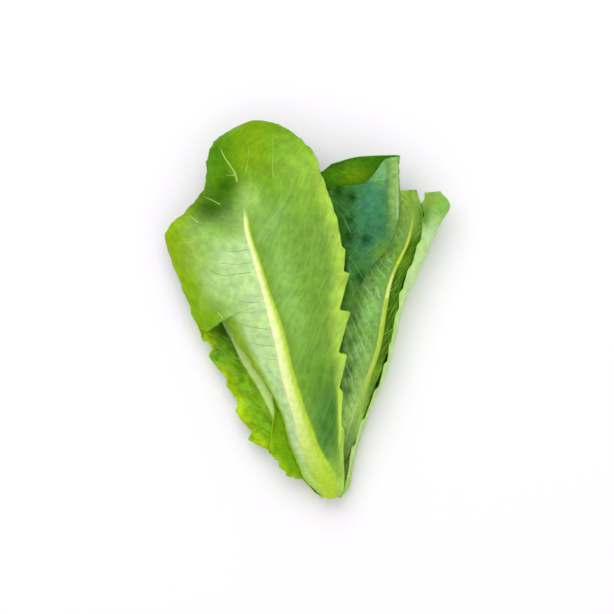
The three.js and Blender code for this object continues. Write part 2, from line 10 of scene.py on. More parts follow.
import bpy
import numpy as np
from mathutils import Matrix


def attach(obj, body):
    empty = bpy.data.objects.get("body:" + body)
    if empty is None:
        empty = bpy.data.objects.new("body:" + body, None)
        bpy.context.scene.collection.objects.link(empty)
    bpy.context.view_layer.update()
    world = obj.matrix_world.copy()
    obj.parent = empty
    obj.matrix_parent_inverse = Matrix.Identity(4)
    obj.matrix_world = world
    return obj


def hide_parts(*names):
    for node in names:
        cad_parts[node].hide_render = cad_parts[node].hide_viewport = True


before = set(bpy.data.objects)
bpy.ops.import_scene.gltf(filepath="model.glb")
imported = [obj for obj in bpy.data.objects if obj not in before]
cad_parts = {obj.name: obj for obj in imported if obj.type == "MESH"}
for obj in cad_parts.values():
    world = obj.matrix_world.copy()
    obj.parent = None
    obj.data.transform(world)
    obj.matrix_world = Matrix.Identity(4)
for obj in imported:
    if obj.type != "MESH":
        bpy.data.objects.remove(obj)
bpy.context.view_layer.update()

# ---------- Driving dimensions ----------

MM = 0.001
BLADE = 0.9  # thickness of a leaf blade
EDGE_BLADE = 0.65  # thickness at the very edge of a blade
EDGE_TAPER = 4.0  # how far from its edge a blade starts to thin
TOOTH_REACH = 9.0  # how far from the edge a tooth still pulls the blade
TOOTH_RISE = 0.22  # the share of a tooth's run that its steep upper side takes
TOOTH_LEVEL = 0.5  # the share of its edge's slope that a tooth keeps
LEAST_RUN, RUN_SPREAD = 0.7, 0.6  # a ruled tooth's least run, and what chance may add, in pitches
LEAST_DEPTH, DEPTH_SPREAD = 0.6, 0.8  # the same for its depth, as shares of the row's depth
CREASE_FADE = 0.12  # the share of a leaf's length over which its crease fades
RIB_RAIL = 1  # every leaf's second rail, from the left, runs along its rib
MOST_RIB = 0.7  # the largest share of a half blade that the rib may take
RIB_FLARE = 1.5  # how gently the rib's flanks run out into the blade; 0.5 makes it half round
RIB_STEPS = 7  # fine columns over each half of a rib
WAVE_START = (0.1, 6.0)  # where an edge starts to ripple, and how fast the ripple grows from there
WAVE_SHIFT = (0.3, 0.4)  # turns by which the ripple shifts from rib to edge, and on the right side
STEM_ROWS = 90
STEM_SIDES = 96
STEM_FLUTES = 9
STEM_RING = 1.1  # millimetres between the cut's rings
STEM = {"x": 15.0, "z": 12.4, "cut_y": -124.5, "cut_radius": 3.9, "radius": 5.3, "length": 11.0}
# pale skin, greener skin, fresh cut and browned cut
STEM_COLOURS = ((196, 220, 138), (170, 202, 104), (214, 212, 152), (176, 134, 74))

WANDER_SIZE = 16.0  # millimetres across the noise that makes the side veins stray
SIDE_SHIFT = 31.7  # how far the right side's veins are out of step with the left's, in pitches
NET_SHIFT = 17.0  # the same for the fine net, in cells
NET_WANDER = 1.2  # cells by which the net strays with the veins
VEIN_RANDOM = 0.55  # how uneven the side veins' distances are, from 0 to 1
NET_RANDOM = 0.9  # the same for the net's cells
PUCKER_FLANK = (0.4, 0.35)  # the share of a pitch, and of a net cell, over which a pucker rises
PUCKER_FROM_RIB = (2.0, 14.0)  # where puckers come in beside the rib
PUCKER_FROM_BUTT = (12.0, 50.0)  # and where they come in along the leaf
BLADE_FROM_RIB = (2.0, 5.0)  # where the blade's patches and veins come in beside the rib

PHOTO_FRAME = 614  # pixels each way
PIXEL = 0.66  # millimetres that one pixel spans
FRAME_CENTRE = (-0.66, 1.65)  # where the frame's middle falls, beside the head's origin
CAMERA_HEIGHT = 4000.0
FOCUS_HEIGHT = 30.0  # the level at which one pixel spans PIXEL
SENSOR = 36.0


# ---------- Rules for what repeats ----------


def seeded(state):
    """A small linear congruential generator, so that a seed always gives the same head."""
    while True:
        state = (state * 1664525 + 1013904223) % 2**32
        yield state / 2**32


def teeth(seed, start, pitch, depth, stop=0.95):
    """The teeth of an edge, each as (where its upper end is, its depth, its run), in a row."""
    random = seeded(seed)
    row = []
    place = start
    while place < stop:
        run = pitch * (LEAST_RUN + RUN_SPREAD * next(random))
        place += run
        row.append((place, depth * (LEAST_DEPTH + DEPTH_SPREAD * next(random)), run))
    return row


# ---------- The leaves ----------

# Each leaf is a sheet stretched over rails, which run from the butt to the tip: its left edge, its
# rib, a fold if it has one, and its right edge, as seen from above. The other entries are:
#   outer    1 where the leaf's outer side faces up, -1 where it faces down, as most do
#   length   the leaf's length, along its rib
#   arches   how far the sheet arches between two rails, as a share of their distance
#   crease   the place along the rib where its crease starts to fade
#   fine     rows from butt to tip, and columns left and right of the rib
#   wave     height, pitch and reach of the edges' ripple
#   rib      (place, width, height) along the rib, which stands out on the outer side
#   teeth    (upper end, depth, run) of an edge's teeth
#   dents    (x, y, radius, depth) of the hollows pressed into the sheet from above
LEAVES = {}


def add_leaf(name, left_edge, rib_line, right_edge, fold=None, **form):
    """Enters a leaf, with its rails in a row from its left edge to its right one."""
    rails = [rail for rail in (left_edge, rib_line, fold, right_edge) if rail]
    common = {"outer": -1, "crease": 0.85, "left_teeth": [], "right_teeth": [], "dents": []}
    LEAVES[name] = {**common, **form, "rails": rails}


# The big leaf on top, outer side up, with a broad lobe at its tip.
add_leaf(
    "front_leaf",
    outer=1, length=265, arches=(0.08, 0.06), crease=0.68, fine=(300, 70, 60), wave=(1.6, 27, 16),
    rib=[
        (0, 8, 1.8), (0.07, 14, 3), (0.15, 18, 3.6), (0.24, 13.4, 3.4), (0.34, 10.6, 3.2),
        (0.45, 8.4, 2.8), (0.58, 5.2, 2.2), (0.68, 3.6, 1.2), (0.76, 2.6, 0.3), (1, 1.6, 0),
    ],
    left_teeth=[
        (0.335, 1, 0.03), (0.372, 1.2, 0.03), (0.412, 2.4, 0.038), (0.463, 2.2, 0.04),
        *teeth(seed=11, start=0.5, pitch=0.036, depth=1.5),
    ],
    right_teeth=[
        (0.26, 2, 0.06), (0.331, 3, 0.06), (0.384, 7.4, 0.056), (0.46, 10.4, 0.076), (0.548, 6.4, 0.088),
        (0.6, 2.4, 0.05),
        *teeth(seed=12, start=0.63, pitch=0.05, depth=1, stop=0.9),
    ],
    dents=[(-66, 66, 24, 9), (-47, 80, 16, 4), (-38, 74, 12, -2)],
    left_edge=[
        (11, -124.5, 15), (5.5, -120, 16), (-2.5, -112, 18), (-7.5, -100.5, 19), (-13, -87.5, 20.5),
        (-17.5, -69.5, 22), (-29.5, -47, 23), (-43, -26.5, 24.5), (-58, -3.5, 27.5), (-69, -15, 16.5),
        (-82.5, 14, 15.5), (-94, 48.5, 17), (-80, 65.5, 23), (-68, 81, 30), (-66, 100, 30),
        (-61.5, 111, 28), (-54, 117, 26),
    ],
    rib_line=[
        (15, -124.5, 17.5), (14, -119, 21), (12, -112.5, 25), (5.5, -101.5, 30), (-1, -86, 35),
        (-6.5, -67.5, 39.5), (-13, -45, 43.5), (-18, -21.5, 46.5), (-23, -3, 48.5), (-27.5, 11.5, 50),
        (-33.5, 31.5, 51), (-39.5, 51, 51), (-41.5, 68.5, 50), (-45.5, 85.5, 46), (-49, 100, 42),
        (-44, 115, 36.5), (-36.5, 124.5, 31),
    ],
    right_edge=[
        (19.5, -124.5, 15), (23, -120, 16.5), (24, -112.5, 18.5), (23.5, -98, 23), (22.5, -79.5, 28),
        (21, -58.5, 32), (20.5, -31.5, 35), (20.5, -7.5, 36.5), (22, 13, 37.5), (23.5, 30, 38.5),
        (21, 50, 38.5), (16, 68.5, 38.5), (9, 87.5, 37.5), (4, 102.5, 36), (-3.5, 110.5, 34),
        (-11, 117.5, 31), (-20, 122.5, 28.5),
    ],
)

# Nested under the front leaf, outer side up.
add_leaf(
    "front_inner_leaf",
    outer=1, length=190, arches=(0.07, 0.05), crease=0.8, fine=(150, 30, 30), wave=(0.9, 25, 10),
    rib=[(0, 5, 0.7), (0.15, 8, 1.6), (0.4, 6, 1.4), (0.7, 3, 1), (1, 1.4, 0.2)],
    left_teeth=teeth(seed=91, start=0.3, pitch=0.08, depth=1.6),
    right_teeth=teeth(seed=92, start=0.3, pitch=0.08, depth=1.6),
    left_edge=[
        (8.5, -117.5, 17), (2.5, -108.5, 18.5), (-3.5, -97.5, 20.5), (-8, -82, 23.5), (-14.5, -61, 27),
        (-25, -37.5, 28.5), (-37.5, -15, 28.5), (-47, 5, 28.5), (-52, 23.5, 28.5), (-54, 40.5, 28.5),
        (-51.5, 55, 29.5), (-45, 64.5, 31),
    ],
    rib_line=[
        (13.5, -117.5, 19.5), (10.5, -108.5, 22), (6, -98, 25), (0, -83, 29.5), (-6, -63, 34),
        (-12, -40, 38), (-16, -17, 41), (-19, 3, 42.5), (-22.5, 21, 43), (-26.5, 38, 42),
        (-30.5, 52.5, 39.5), (-33, 65.5, 36),
    ],
    right_edge=[
        (18.5, -117.5, 17), (18, -108.5, 19), (16.5, -96.5, 22), (14.5, -79.5, 26), (12.5, -58.5, 30),
        (12.5, -34.5, 33), (13, -11, 35), (13, 10, 36), (11, 28.5, 36), (5.5, 46, 35.5), (-5.5, 58, 35),
        (-19, 64.5, 35),
    ],
)

# The ragged leaf at the left, lying on its rib, inner side up.
add_leaf(
    "left_leaf",
    length=185, arches=(-0.1, -0.06), fine=(210, 44, 44), wave=(2.2, 21, 14),
    rib=[
        (0, 5, 1.8), (0.12, 9, 3.4), (0.3, 8, 3.4), (0.42, 7.6, 3), (0.51, 9.4, 2.8), (0.59, 8.4, 2.4),
        (0.68, 6, 1.8), (0.76, 3, 1), (1, 1.4, 0.3),
    ],
    left_teeth=[
        (0.255, 2, 0.06), (0.325, 3, 0.07), (0.412, 6.6, 0.085), (0.495, 5, 0.08), (0.572, 3, 0.07),
        (0.66, 7, 0.085),
        *teeth(seed=21, start=0.7, pitch=0.06, depth=1.6),
    ],
    right_teeth=teeth(seed=22, start=0.2, pitch=0.08, depth=1),
    left_edge=[
        (10.5, -124.5, 13), (4.5, -121, 13), (-3.5, -112.5, 12.5), (-16, -100.5, 11.5),
        (-27.5, -92, 11.5), (-38.5, -80, 11), (-47, -61, 11), (-55, -44, 11), (-64.5, -24, 11.5),
        (-70.5, -19, 11.5), (-74, -1.5, 11), (-76.5, 16, 11), (-73.5, 36.5, 12.5),
    ],
    rib_line=[
        (10.5, -124.5, 10), (7.5, -119, 8.6), (2, -112.5, 8), (-4, -101.5, 7), (-15, -87, 6),
        (-21, -69, 5.4), (-29, -51, 4.8), (-40, -34, 4), (-49, -18, 2.8), (-58.5, -2.5, 1.7),
        (-66, 13.5, 1.7), (-68.5, 28.5, 4), (-66.5, 40, 9),
    ],
    right_edge=[
        (11, -124.5, 8.4), (9.5, -119, 7.8), (8, -112.5, 7.6), (6, -100.5, 7.4), (2.5, -88, 7),
        (-0.5, -71.5, 7), (-4, -55, 7.8), (-6.5, -38.5, 9.5), (-12, -23.5, 11), (-18.5, -8, 12.5),
        (-27.5, 6.5, 13.5), (-41, 22, 13.5), (-57, 34.5, 14),
    ],
)

# A small leaf between the front and left leaves.
add_leaf(
    "heart_leaf_left",
    length=125, arches=(-0.06, -0.06), fine=(120, 22, 22), wave=(0.8, 20, 8),
    rib=[(0, 3, 0.8), (0.2, 5, 1.4), (0.6, 3, 0.8), (1, 1.2, 0.2)],
    left_teeth=teeth(seed=31, start=0.12, pitch=0.1, depth=1.8, stop=0.9),
    left_edge=[
        (10.5, -111, 16.5), (-2.5, -112, 16.5), (-12.5, -109.5, 16), (-20.5, -99.5, 16.5),
        (-25, -92.5, 17), (-24, -79.5, 17.5), (-22.5, -63, 18), (-28.5, -34.5, 19), (-33, -8, 23),
    ],
    rib_line=[
        (9, -111, 14), (4, -104, 14.5), (-0.5, -94.5, 16), (-6, -82, 17.5), (-10.5, -67, 19),
        (-14.5, -49, 20.5), (-18.5, -29.5, 22.5), (-22.5, -9.5, 25), (-25, 7.5, 27),
    ],
    right_edge=[
        (10, -111, 12), (8, -100.5, 14.5), (7, -89, 16.5), (6, -75, 18.5), (4.5, -58.5, 20.5),
        (2.5, -40, 23), (-0.5, -21, 25.5), (-6, -3, 28), (-14, 7.5, 29.5),
    ],
)

# The tall leaf beside the front leaf; its right side is folded back over it.
add_leaf(
    "right_inner_leaf",
    length=215, arches=(-0.05, -0.06, -0.07), crease=0.75, fine=(230, 30, 74),
    wave=(0.9, 24, 8),
    rib=[(0, 3, 0.8), (0.15, 5, 1.6), (0.5, 4, 1.4), (0.8, 2, 0.8), (1, 1.2, 0.2)],
    left_teeth=teeth(seed=41, start=0.3, pitch=0.07, depth=1.8),
    right_teeth=teeth(seed=42, start=0.5, pitch=0.07, depth=1.4),
    dents=[
        (20, 77, 6, 1.4), (29, 72, 5, 1.6), (28, 58, 6, 1.6), (27, 47, 6, 1.6), (38, 44, 6, 1.6),
        (34, 20, 7, 1.6), (46, 60, 6, 1),
    ],
    left_edge=[
        (12.5, -111, 17), (10, -96.5, 18), (3.5, -78, 21.5), (-0.5, -57, 25), (-2.5, -32, 28),
        (-3.5, -10, 30), (-2, 9.5, 31), (0, 26, 32), (0.5, 44.5, 32.5), (1.5, 63, 33), (3.5, 77.5, 33),
        (8.5, 89.5, 32), (16.5, 96.5, 31),
    ],
    rib_line=[
        (14.5, -111, 16), (16.5, -96, 17), (16.5, -76, 19.5), (16.5, -53, 22.5), (18, -27.5, 25),
        (20, -5, 27), (23, 15, 28), (27, 30, 28.5), (31.5, 47, 29), (35.5, 64.5, 29.5), (37, 79, 29.5),
        (36.5, 92, 29.5), (35.5, 101, 30),
    ],
    fold=[
        (15.5, -111, 15.5), (20.5, -95.5, 18), (21.5, -75, 21.5), (22, -51, 25), (23, -24, 28),
        (27.5, -0.5, 29.5), (34.5, 17, 31), (45, 31.5, 32), (56, 48, 33.5), (60, 64.5, 34),
        (60, 79, 34.5), (60, 91, 35), (60, 101.5, 35),
    ],
    right_edge=[
        (15.5, -111, 15), (18.5, -94.5, 19.5), (18.5, -73.5, 23), (18.5, -49, 26.5), (18, -22, 29.5),
        (18.5, 2.5, 31), (18, 20, 32.5), (15, 36.5, 33.5), (11, 54, 34), (8.5, 71, 35), (19, 80.5, 36),
        (37, 83, 37), (52, 99.5, 37),
    ],
)

# The crinkled leaf in the middle of the right group, inner side up.
add_leaf(
    "right_middle_leaf",
    length=195, arches=(-0.05, -0.05), fine=(210, 36, 30), wave=(1, 19, 8),
    rib=[(0, 3, 0.8), (0.15, 5.4, 1.8), (0.5, 4, 1.6), (0.8, 2.6, 1), (1, 1.4, 0.2)],
    right_teeth=[
        (0.38, 1.4, 0.06), (0.47, 1.8, 0.08), (0.6, 1.6, 0.12), (0.74, 2.2, 0.08), (0.8, 1.6, 0.05),
        (0.87, 2.6, 0.06),
    ],
    left_edge=[
        (14.5, -111, 10.5), (16.5, -96.5, 10), (16.5, -81.5, 10.5), (16, -66.5, 12), (16, -48.5, 14.5),
        (17, -30, 17), (19, -10, 19.5), (22, 7.5, 22), (25.5, 23, 24), (31.5, 39.5, 25.5), (41.5, 58, 27),
        (56, 78.5, 28),
    ],
    rib_line=[
        (15.5, -111, 12.5), (24.5, -96, 12), (30, -79.5, 13), (35, -63, 14.5), (40.5, -45, 16.5),
        (47, -25, 18.5), (50.5, -2.5, 20.5), (54, 16, 22), (59, 29.5, 23), (66, 44.5, 24),
        (69.5, 61.5, 25.5), (67.5, 79, 27.5),
    ],
    right_edge=[
        (16, -111, 14.5), (27.5, -94.5, 14.5), (34.5, -77.5, 16), (41, -59.5, 17.5), (48, -40.5, 19.5),
        (55, -20, 21.5), (59, 2.5, 23), (64, 22, 24.5), (71.5, 36, 25.5), (75, 48.5, 26.5),
        (76, 63.5, 28), (71.5, 79, 28.5),
    ],
)

# The outermost leaf at the right; it lies on its rib and its right side leans back in.
add_leaf(
    "right_outer_leaf",
    length=215, arches=(-0.05, -0.08, -0.1), fine=(220, 26, 54), wave=(0.9, 23, 8),
    rib=[(0, 5, 1.8), (0.12, 9, 3), (0.3, 8, 3), (0.6, 5, 2), (1, 1.6, 0.3)],
    left_teeth=teeth(seed=61, start=0.3, pitch=0.08, depth=2),
    right_teeth=teeth(seed=62, start=0.2, pitch=0.075, depth=2.2, stop=0.93),
    left_edge=[
        (18.5, -124.5, 8), (20, -119, 6.6), (22.5, -113, 6), (22, -100.5, 6.2), (23, -82, 6.4),
        (25.5, -61.5, 6.6), (29.5, -40, 6.8), (33, -20, 7), (37, -0.5, 7), (43.5, 19.5, 7.4),
        (53, 36.5, 9), (62, 51, 12.5), (70, 63.5, 17), (77, 72.5, 20),
    ],
    rib_line=[
        (20, -124.5, 10), (23, -119, 9), (25, -114, 8), (27.5, -100, 6.4), (33, -81.5, 4.8),
        (40.5, -61, 3.6), (49, -39.5, 2.4), (53.5, -19, 1.6), (57.5, 1.5, 1.4), (63.5, 21, 2.2),
        (72, 38.5, 10), (78.5, 54, 13), (83, 67, 17), (83, 75.5, 21),
    ],
    fold=[
        (20.5, -124.5, 11.5), (24, -119, 12), (26, -113, 12.5), (29.5, -98.5, 13), (35.5, -79, 14.5),
        (44, -60.5, 15.5), (53.5, -37.5, 17), (58.5, -17, 18.5), (63.5, 3, 20), (72.5, 23, 21.5),
        (81, 42, 23), (87, 56, 24.5), (93.5, 68.5, 26), (87, 78, 27),
    ],
    right_edge=[
        (20, -124.5, 13), (23.5, -119, 15), (25.5, -112.5, 16.5), (29, -97.5, 18.5), (35.5, -77, 20.5),
        (44, -58.5, 22.5), (52, -36, 24.5), (56, -17.5, 26.5), (60, 0.5, 28), (64, 17.5, 29.5),
        (72, 38.5, 30.5), (76.5, 54, 31.5), (76.5, 67, 31.5), (77, 77, 30.5),
    ],
)

# The outer leaf on the underside, which the head lies on.
add_leaf(
    "back_leaf",
    length=195, arches=(-0.03, -0.03), fine=(160, 30, 28), wave=(0.8, 24, 10),
    rib=[(0, 5, 1.8), (0.12, 11, 3.2), (0.3, 9, 3.2), (0.6, 6, 2), (1, 1.6, 0.3)],
    left_teeth=teeth(seed=71, start=0.4, pitch=0.07, depth=1.2),
    right_teeth=teeth(seed=72, start=0.2, pitch=0.07, depth=2),
    left_edge=[
        (13.5, -124.5, 7.2), (12.5, -119, 5.4), (10, -112.5, 4.2), (5, -96.5, 3.4), (-2.5, -74, 3.2),
        (-9, -49, 2.6), (-15, -24, 2.4), (-20.5, 1, 3.5), (-22, 27.5, 6), (-17, 47, 9), (-9, 60.5, 11),
    ],
    rib_line=[
        (15, -124.5, 7), (15, -119, 5), (14.5, -112.5, 3.6), (12.5, -96, 2.7), (9, -73, 2.4),
        (6.5, -46.5, 2.1), (4, -20, 1.7), (2, 6.5, 1.6), (0.5, 32.5, 3.5), (0, 54, 6.5), (1.5, 67, 10),
    ],
    right_edge=[
        (17, -124.5, 7.4), (18, -119, 5.6), (19.5, -112.5, 4.2), (20.5, -96, 3.6), (22, -73.5, 3.2),
        (24, -48.5, 2.6), (25.5, -23, 2.8), (27.5, 3.5, 4), (27.5, 30, 7), (24.5, 50, 10), (14.5, 63, 12),
    ],
)

# A small inner leaf just above the back leaf.
add_leaf(
    "heart_leaf_back",
    length=155, arches=(-0.05, -0.05), fine=(130, 24, 24), wave=(0.7, 20, 8),
    rib=[(0, 3, 0.8), (0.2, 5, 1.3), (0.6, 3, 0.8), (1, 1.2, 0.2)],
    left_edge=[
        (11, -111, 10.5), (6, -97.5, 10.5), (-2.5, -75.5, 11.5), (-8.5, -50.5, 13), (-12, -25.5, 14.5),
        (-14.5, -0.5, 16.5), (-14.5, 22, 18.5), (-10.5, 35.5, 20.5),
    ],
    rib_line=[
        (12.5, -111, 10), (10, -96, 9.5), (4.5, -73, 10), (1.5, -46.5, 11.5), (-1.5, -20, 13),
        (-3.5, 6.5, 14.5), (-4, 29.5, 17.5), (-3.5, 42, 20),
    ],
    right_edge=[
        (13.5, -111, 10), (14, -96.5, 10), (12, -74, 11), (12, -48, 13), (12.5, -21.5, 15),
        (12.5, 3.5, 17), (10, 26, 19.5), (4.5, 39.5, 21),
    ],
)

# The small leaf in the middle of the heart.
add_leaf(
    "heart_leaf_middle",
    length=150, arches=(-0.05, -0.05), fine=(120, 20, 20), wave=(0.8, 18, 7),
    rib=[(0, 2.4, 0.5), (0.2, 4, 1.1), (0.6, 3, 0.7), (1, 1.2, 0.2)],
    left_edge=[
        (11, -108.5, 13.5), (7.5, -96.5, 12.5), (-1.5, -75.5, 14), (-5.5, -50.5, 17), (-6, -24, 20),
        (-5.5, -3, 22.5), (-3.5, 17, 24), (0, 31.5, 25),
    ],
    rib_line=[
        (12, -108.5, 13), (9, -96, 12.5), (5.5, -73, 13.5), (3.5, -46.5, 16), (4, -20, 18.5),
        (4.5, 3, 20.5), (4.5, 25, 22.5), (4.5, 38, 25),
    ],
    right_edge=[
        (13, -108.5, 14), (12, -96.5, 13.5), (13, -73.5, 15), (14.5, -47, 18.5), (15, -21.5, 21.5),
        (16, 1, 23.5), (14.5, 21.5, 24.5), (10.5, 34.5, 25.5),
    ],
)

# ---------- How the leaves look ----------

# How veins run in a leaf, and how strongly they show:
#   slope      how steeply side veins climb away from the rib, on its left and on its right
#   bend       how much more they climb towards the edge, per millimetre
#   pitch      millimetres between side veins; wander is how far they stray
#   net        size of the fine net's cells, across and along the side veins
#   pucker     how far the blade bulges between side veins and between the net's strands
#   vein_width, vein_soft, vein_relief   a side vein's width, how softly it ends, how far it stands out
#   net_width, net_strength              the same for the net
#   mottle, mottled, fresh               size, strength and colour of the broad mottling
#   painted_crinkle_shade  size and depth of the darker and lighter patches painted as the crinkled blade's
#   shade and light
#   grain, rough, specular               how grainy, how rough and how glossy the skin is
HABIT = dict(
    slope=(0.3, 0.7), bend=0.004, pitch=12, wander=9, net=(7, 4.5), pucker=(0.5, 0.25),
    vein_width=1, vein_soft=0.6, vein_relief=0.35, net_width=0.55, net_strength=0.5,
    mottle=14, mottled=0.35, fresh=(0.42, 0.62, 0.12, 1), painted_crinkle_shade=(7, 0.06),
    grain=0.1, rough=0.5, specular=0.05,
)

HABITS = {
    "front_leaf": dict(
        slope=(0.02, 0.8), pitch=8, wander=5, net=(9, 5), pucker=(0.3, 0.12),
        vein_width=1.8, vein_soft=1, vein_relief=0.15, net_width=1.2, net_strength=0.3,
        mottled=0.2, painted_crinkle_shade=(7, 0.09),
    ),
    "left_leaf": dict(
        slope=(0.75, 0.7), bend=0.006, pitch=11, net=(7, 5), pucker=(0.6, 0.35),
        vein_width=0.8, net_width=0.4, net_strength=0.3, painted_crinkle_shade=(6, 0.18),
    ),
    "heart_leaf_left": dict(slope=(0.8, 0.8), pitch=9, pucker=(0.3, 0.2), net_strength=0.2),
    "right_inner_leaf": dict(
        slope=(0.9, 0.8), pitch=11, wander=12, net=(5, 4.5), pucker=(0.25, 0.35),
        net_width=1, net_strength=0.15, mottle=8, painted_crinkle_shade=(4, 0.12),
    ),
    "right_middle_leaf": dict(
        slope=(1.3, 1.2), pitch=7, net=(3.2, 3.2), pucker=(0.4, 0.4),
        vein_width=1.6, net_width=1.1, net_strength=0.45, mottle=9, painted_crinkle_shade=(4.5, 0.14),
    ),
    "right_outer_leaf": dict(slope=(0.8, 0.9), pitch=13, pucker=(0.2, 0.1), net_strength=0.1),
}

# The looks of a leaf's face, in display colours. A face goes from its left colour to its right one
# over the rib, towards its tip colour over the last part and its butt colour over the first, and
# to its margin colours near its two edges. The other entries are:
#   tip_from     shares of the leaf's length over which the tip colour comes in
#   margin_low   share of the margin's width that is left near the butt
#   near         colour beside the rib, how far it reaches, and its strength
#   rib          the rib's colours on its left, on its right and at the butt
#   veins        vein colours on the left and right of the rib, and their strength
#   veins_to     shares of the leaf's length over which its veins come in, from 0 to full
#   spots        (x, y, half width, half length, turn in degrees, colour, strength)
#   strokes      (colour, width, strength, [(x, y), ...]): single veins, from their thick end
# the rib's whiter left flank and more yellow-green right flank are partly its own colour and partly painted
# light from the upper left, with painted shade on the right flank
PALE_RIB_LIT_LEFT = ((250, 255, 196), (186, 216, 58), (178, 212, 58))

YOUNG = dict(
    left=(128, 176, 32), right=(128, 176, 32), tip=(150, 190, 40), butt=(190, 220, 110),
    margin=((160, 196, 40), (160, 196, 40)), margin_width=(7, 7),
    rib=((208, 236, 140), (186, 222, 110), (176, 212, 100)),
    veins=((200, 226, 120), (200, 226, 120), 0.5),
)
OUTSIDE = dict(
    left=(150, 192, 96), right=(150, 192, 96), tip=(128, 176, 60), butt=(184, 214, 118),
    margin=((140, 184, 50), (140, 184, 50)), margin_width=(8, 8), rib=PALE_RIB_LIT_LEFT,
    veins=((204, 228, 140), (204, 228, 140), 0.5),
)

PALE_VEIN = (176, 214, 112)
# painted shade in the shallow creases of the front leaf's left side veins
SHADED_VEIN_CREASE = (112, 152, 84)
SOFT_VEIN = (160, 202, 120)
DIM_VEIN = (150, 196, 116)
# the front leaf's outer face: its pale left half, whiter beside the rib, and its darker right half are partly
# its own colour and partly painted light from the upper left and painted shade on the right; its darker left
# veins are painted shade in their creases
FRONT_OUTER = dict(
    left=(182, 216, 146), right=(118, 160, 58), tip=(104, 152, 8), tip_from=(0.64, 0.8), butt=(168, 207, 93),
    margin=((140, 176, 0), (174, 210, 82)), margin_width=(17, 13), margin_low=0.4,
    near=((206, 230, 172), 12, 0.5), rib=PALE_RIB_LIT_LEFT,
    veins=((124, 164, 50), (156, 198, 100), 0.2), veins_to=(0.82, 0.6),
    spots=[
        # painted shade in the hollow under the notch and in the crease above the rib
        (-54, 53, 16, 8, 0, (124, 164, 44), 0.7),
        (-64, 67, 17, 12, 22, (50, 92, 0), 1),
        (-53, 82, 8, 7, 20, (42, 86, 0), 0.95),
        # the paler blade above the rib's end
        (-37, 72, 8, 13, 10, (166, 204, 108), 0.85),
        # the tip, dark at its left and brighter to the right
        (-60, 100, 11, 20, 0, (70, 124, 0), 0.85),
        (-36, 106, 11, 20, 0, (128, 160, 6), 0.75),
        (-6, 92, 16, 26, 15, (148, 188, 68), 0.8),
        (-20, 62, 10, 20, -35, (130, 176, 84), 0.6),
        # the greener blade between the lobe and the pale middle
        (-69, 39, 10, 14, 0, (146, 190, 84), 0.75),
        # lighter beside the rib, and darker below the middle
        (-13, 13, 7, 42, 15, (144, 190, 96), 0.8),
        (4, -42, 9, 20, 10, (92, 142, 30), 0.6),
        # the margin above the gap beside the left leaf, darkened with painted shade
        (-44, -24, 3.5, 15, 29, (136, 170, 40), 0.75),
        # the lobe's bright margin
        (-64, -6, 15, 14, 0, (112, 162, 0), 1),
        (-78, 16, 11, 26, 24, (128, 170, 0), 1),
        (-86, 44, 13, 22, 10, (138, 172, 0), 0.95),
        # painted shade beside the rib's foot, where the blade sinks behind the rib
        (11, -76, 8, 28, 2, (72, 128, 52), 0.95),
        (16, -66, 3, 20, 2, (66, 120, 40), 0.9),
    ],
    strokes=[
        (PALE_VEIN, 0.8, 0.95, [(-46.5, 83.5), (-47.7, 89.3), (-50, 93), (-55.3, 101), (-58, 108)]),
        (PALE_VEIN, 0.45, 0.7, [(-47.7, 88), (-50.9, 88.4), (-54.5, 88.6)]),
        (PALE_VEIN, 0.4, 0.5, [(-41, 90), (-40.1, 93.7), (-39.1, 102.6), (-39.5, 112.7)]),
        (PALE_VEIN, 0.45, 0.55, [(-22.8, 86), (-23.3, 93.7), (-23, 106.4), (-24.3, 116)]),
        (PALE_VEIN, 0.5, 0.8, [(-57.2, 69), (-64.8, 72.9), (-70.5, 75)]),
        (PALE_VEIN, 0.45, 0.8, [(-72, 57), (-76.8, 60.9), (-79.6, 64.6)]),
        (PALE_VEIN, 0.4, 0.6, [(-76.8, 43.8), (-82, 44.2), (-88, 43.6)]),
        # the left half's side veins, drawn as painted shade in their creases
        (SHADED_VEIN_CREASE, 0.45, 0.6, [(-43, 54), (-59.7, 54.3), (-72.4, 50.7)]),
        (SHADED_VEIN_CREASE, 0.4, 0.75, [(-38.5, 39.5), (-48.3, 38.3), (-60, 39)]),
        (SHADED_VEIN_CREASE, 0.4, 0.65, [(-36.5, 31), (-47.1, 29.8), (-60.5, 30.8)]),
        (SHADED_VEIN_CREASE, 0.45, 0.75, [(-36, 24.5), (-46, 23.5), (-56, 22.6), (-63.5, 25.4), (-68.6, 32)]),
        (SHADED_VEIN_CREASE, 0.4, 0.7, [(-30.6, 5), (-42, 5), (-53.4, 9.6)]),
        (SHADED_VEIN_CREASE, 0.4, 0.7, [(-26, -13), (-34.4, -11.9), (-43.3, -9.6), (-50, -6)]),
        (SHADED_VEIN_CREASE, 0.4, 0.7, [(-22, -24), (-30, -23.4), (-38, -22)]),
        (SHADED_VEIN_CREASE, 0.35, 0.6, [(-19, -33), (-26, -32.6), (-32, -32)]),
        (SOFT_VEIN, 2, 0.28, [(-34, 43), (-28.7, 53.3), (-21.8, 62.1), (-14.8, 72.2)]),
        (SOFT_VEIN, 1.6, 0.25, [(-31, 43), (-21.8, 55), (-16.7, 66.4)]),
        (DIM_VEIN, 1.9, 0.22, [(-26, 26), (-18, 33), (-9, 37), (-2, 45)]),
        (DIM_VEIN, 1.8, 0.22, [(-23, 14), (-13, 20), (-4, 24), (4, 31)]),
        ((84, 130, 40), 1.8, 0.25, [(-7.9, 87.4), (-9.1, 78.5), (-14.2, 69.7), (-15.4, 62.1)]),
        # the bright turned edge beside the rib's foot
        ((196, 228, 84), 3.2, 0.75, [(21.8, -50), (21.6, -66), (21.4, -80), (20.4, -94)]),
        # the blade's pale turned edge above the gap beside the left leaf
        ((206, 236, 150), 0.5, 0.6, [(-56, -6), (-58, -3.5), (-60.4, -1)]),
    ],
)
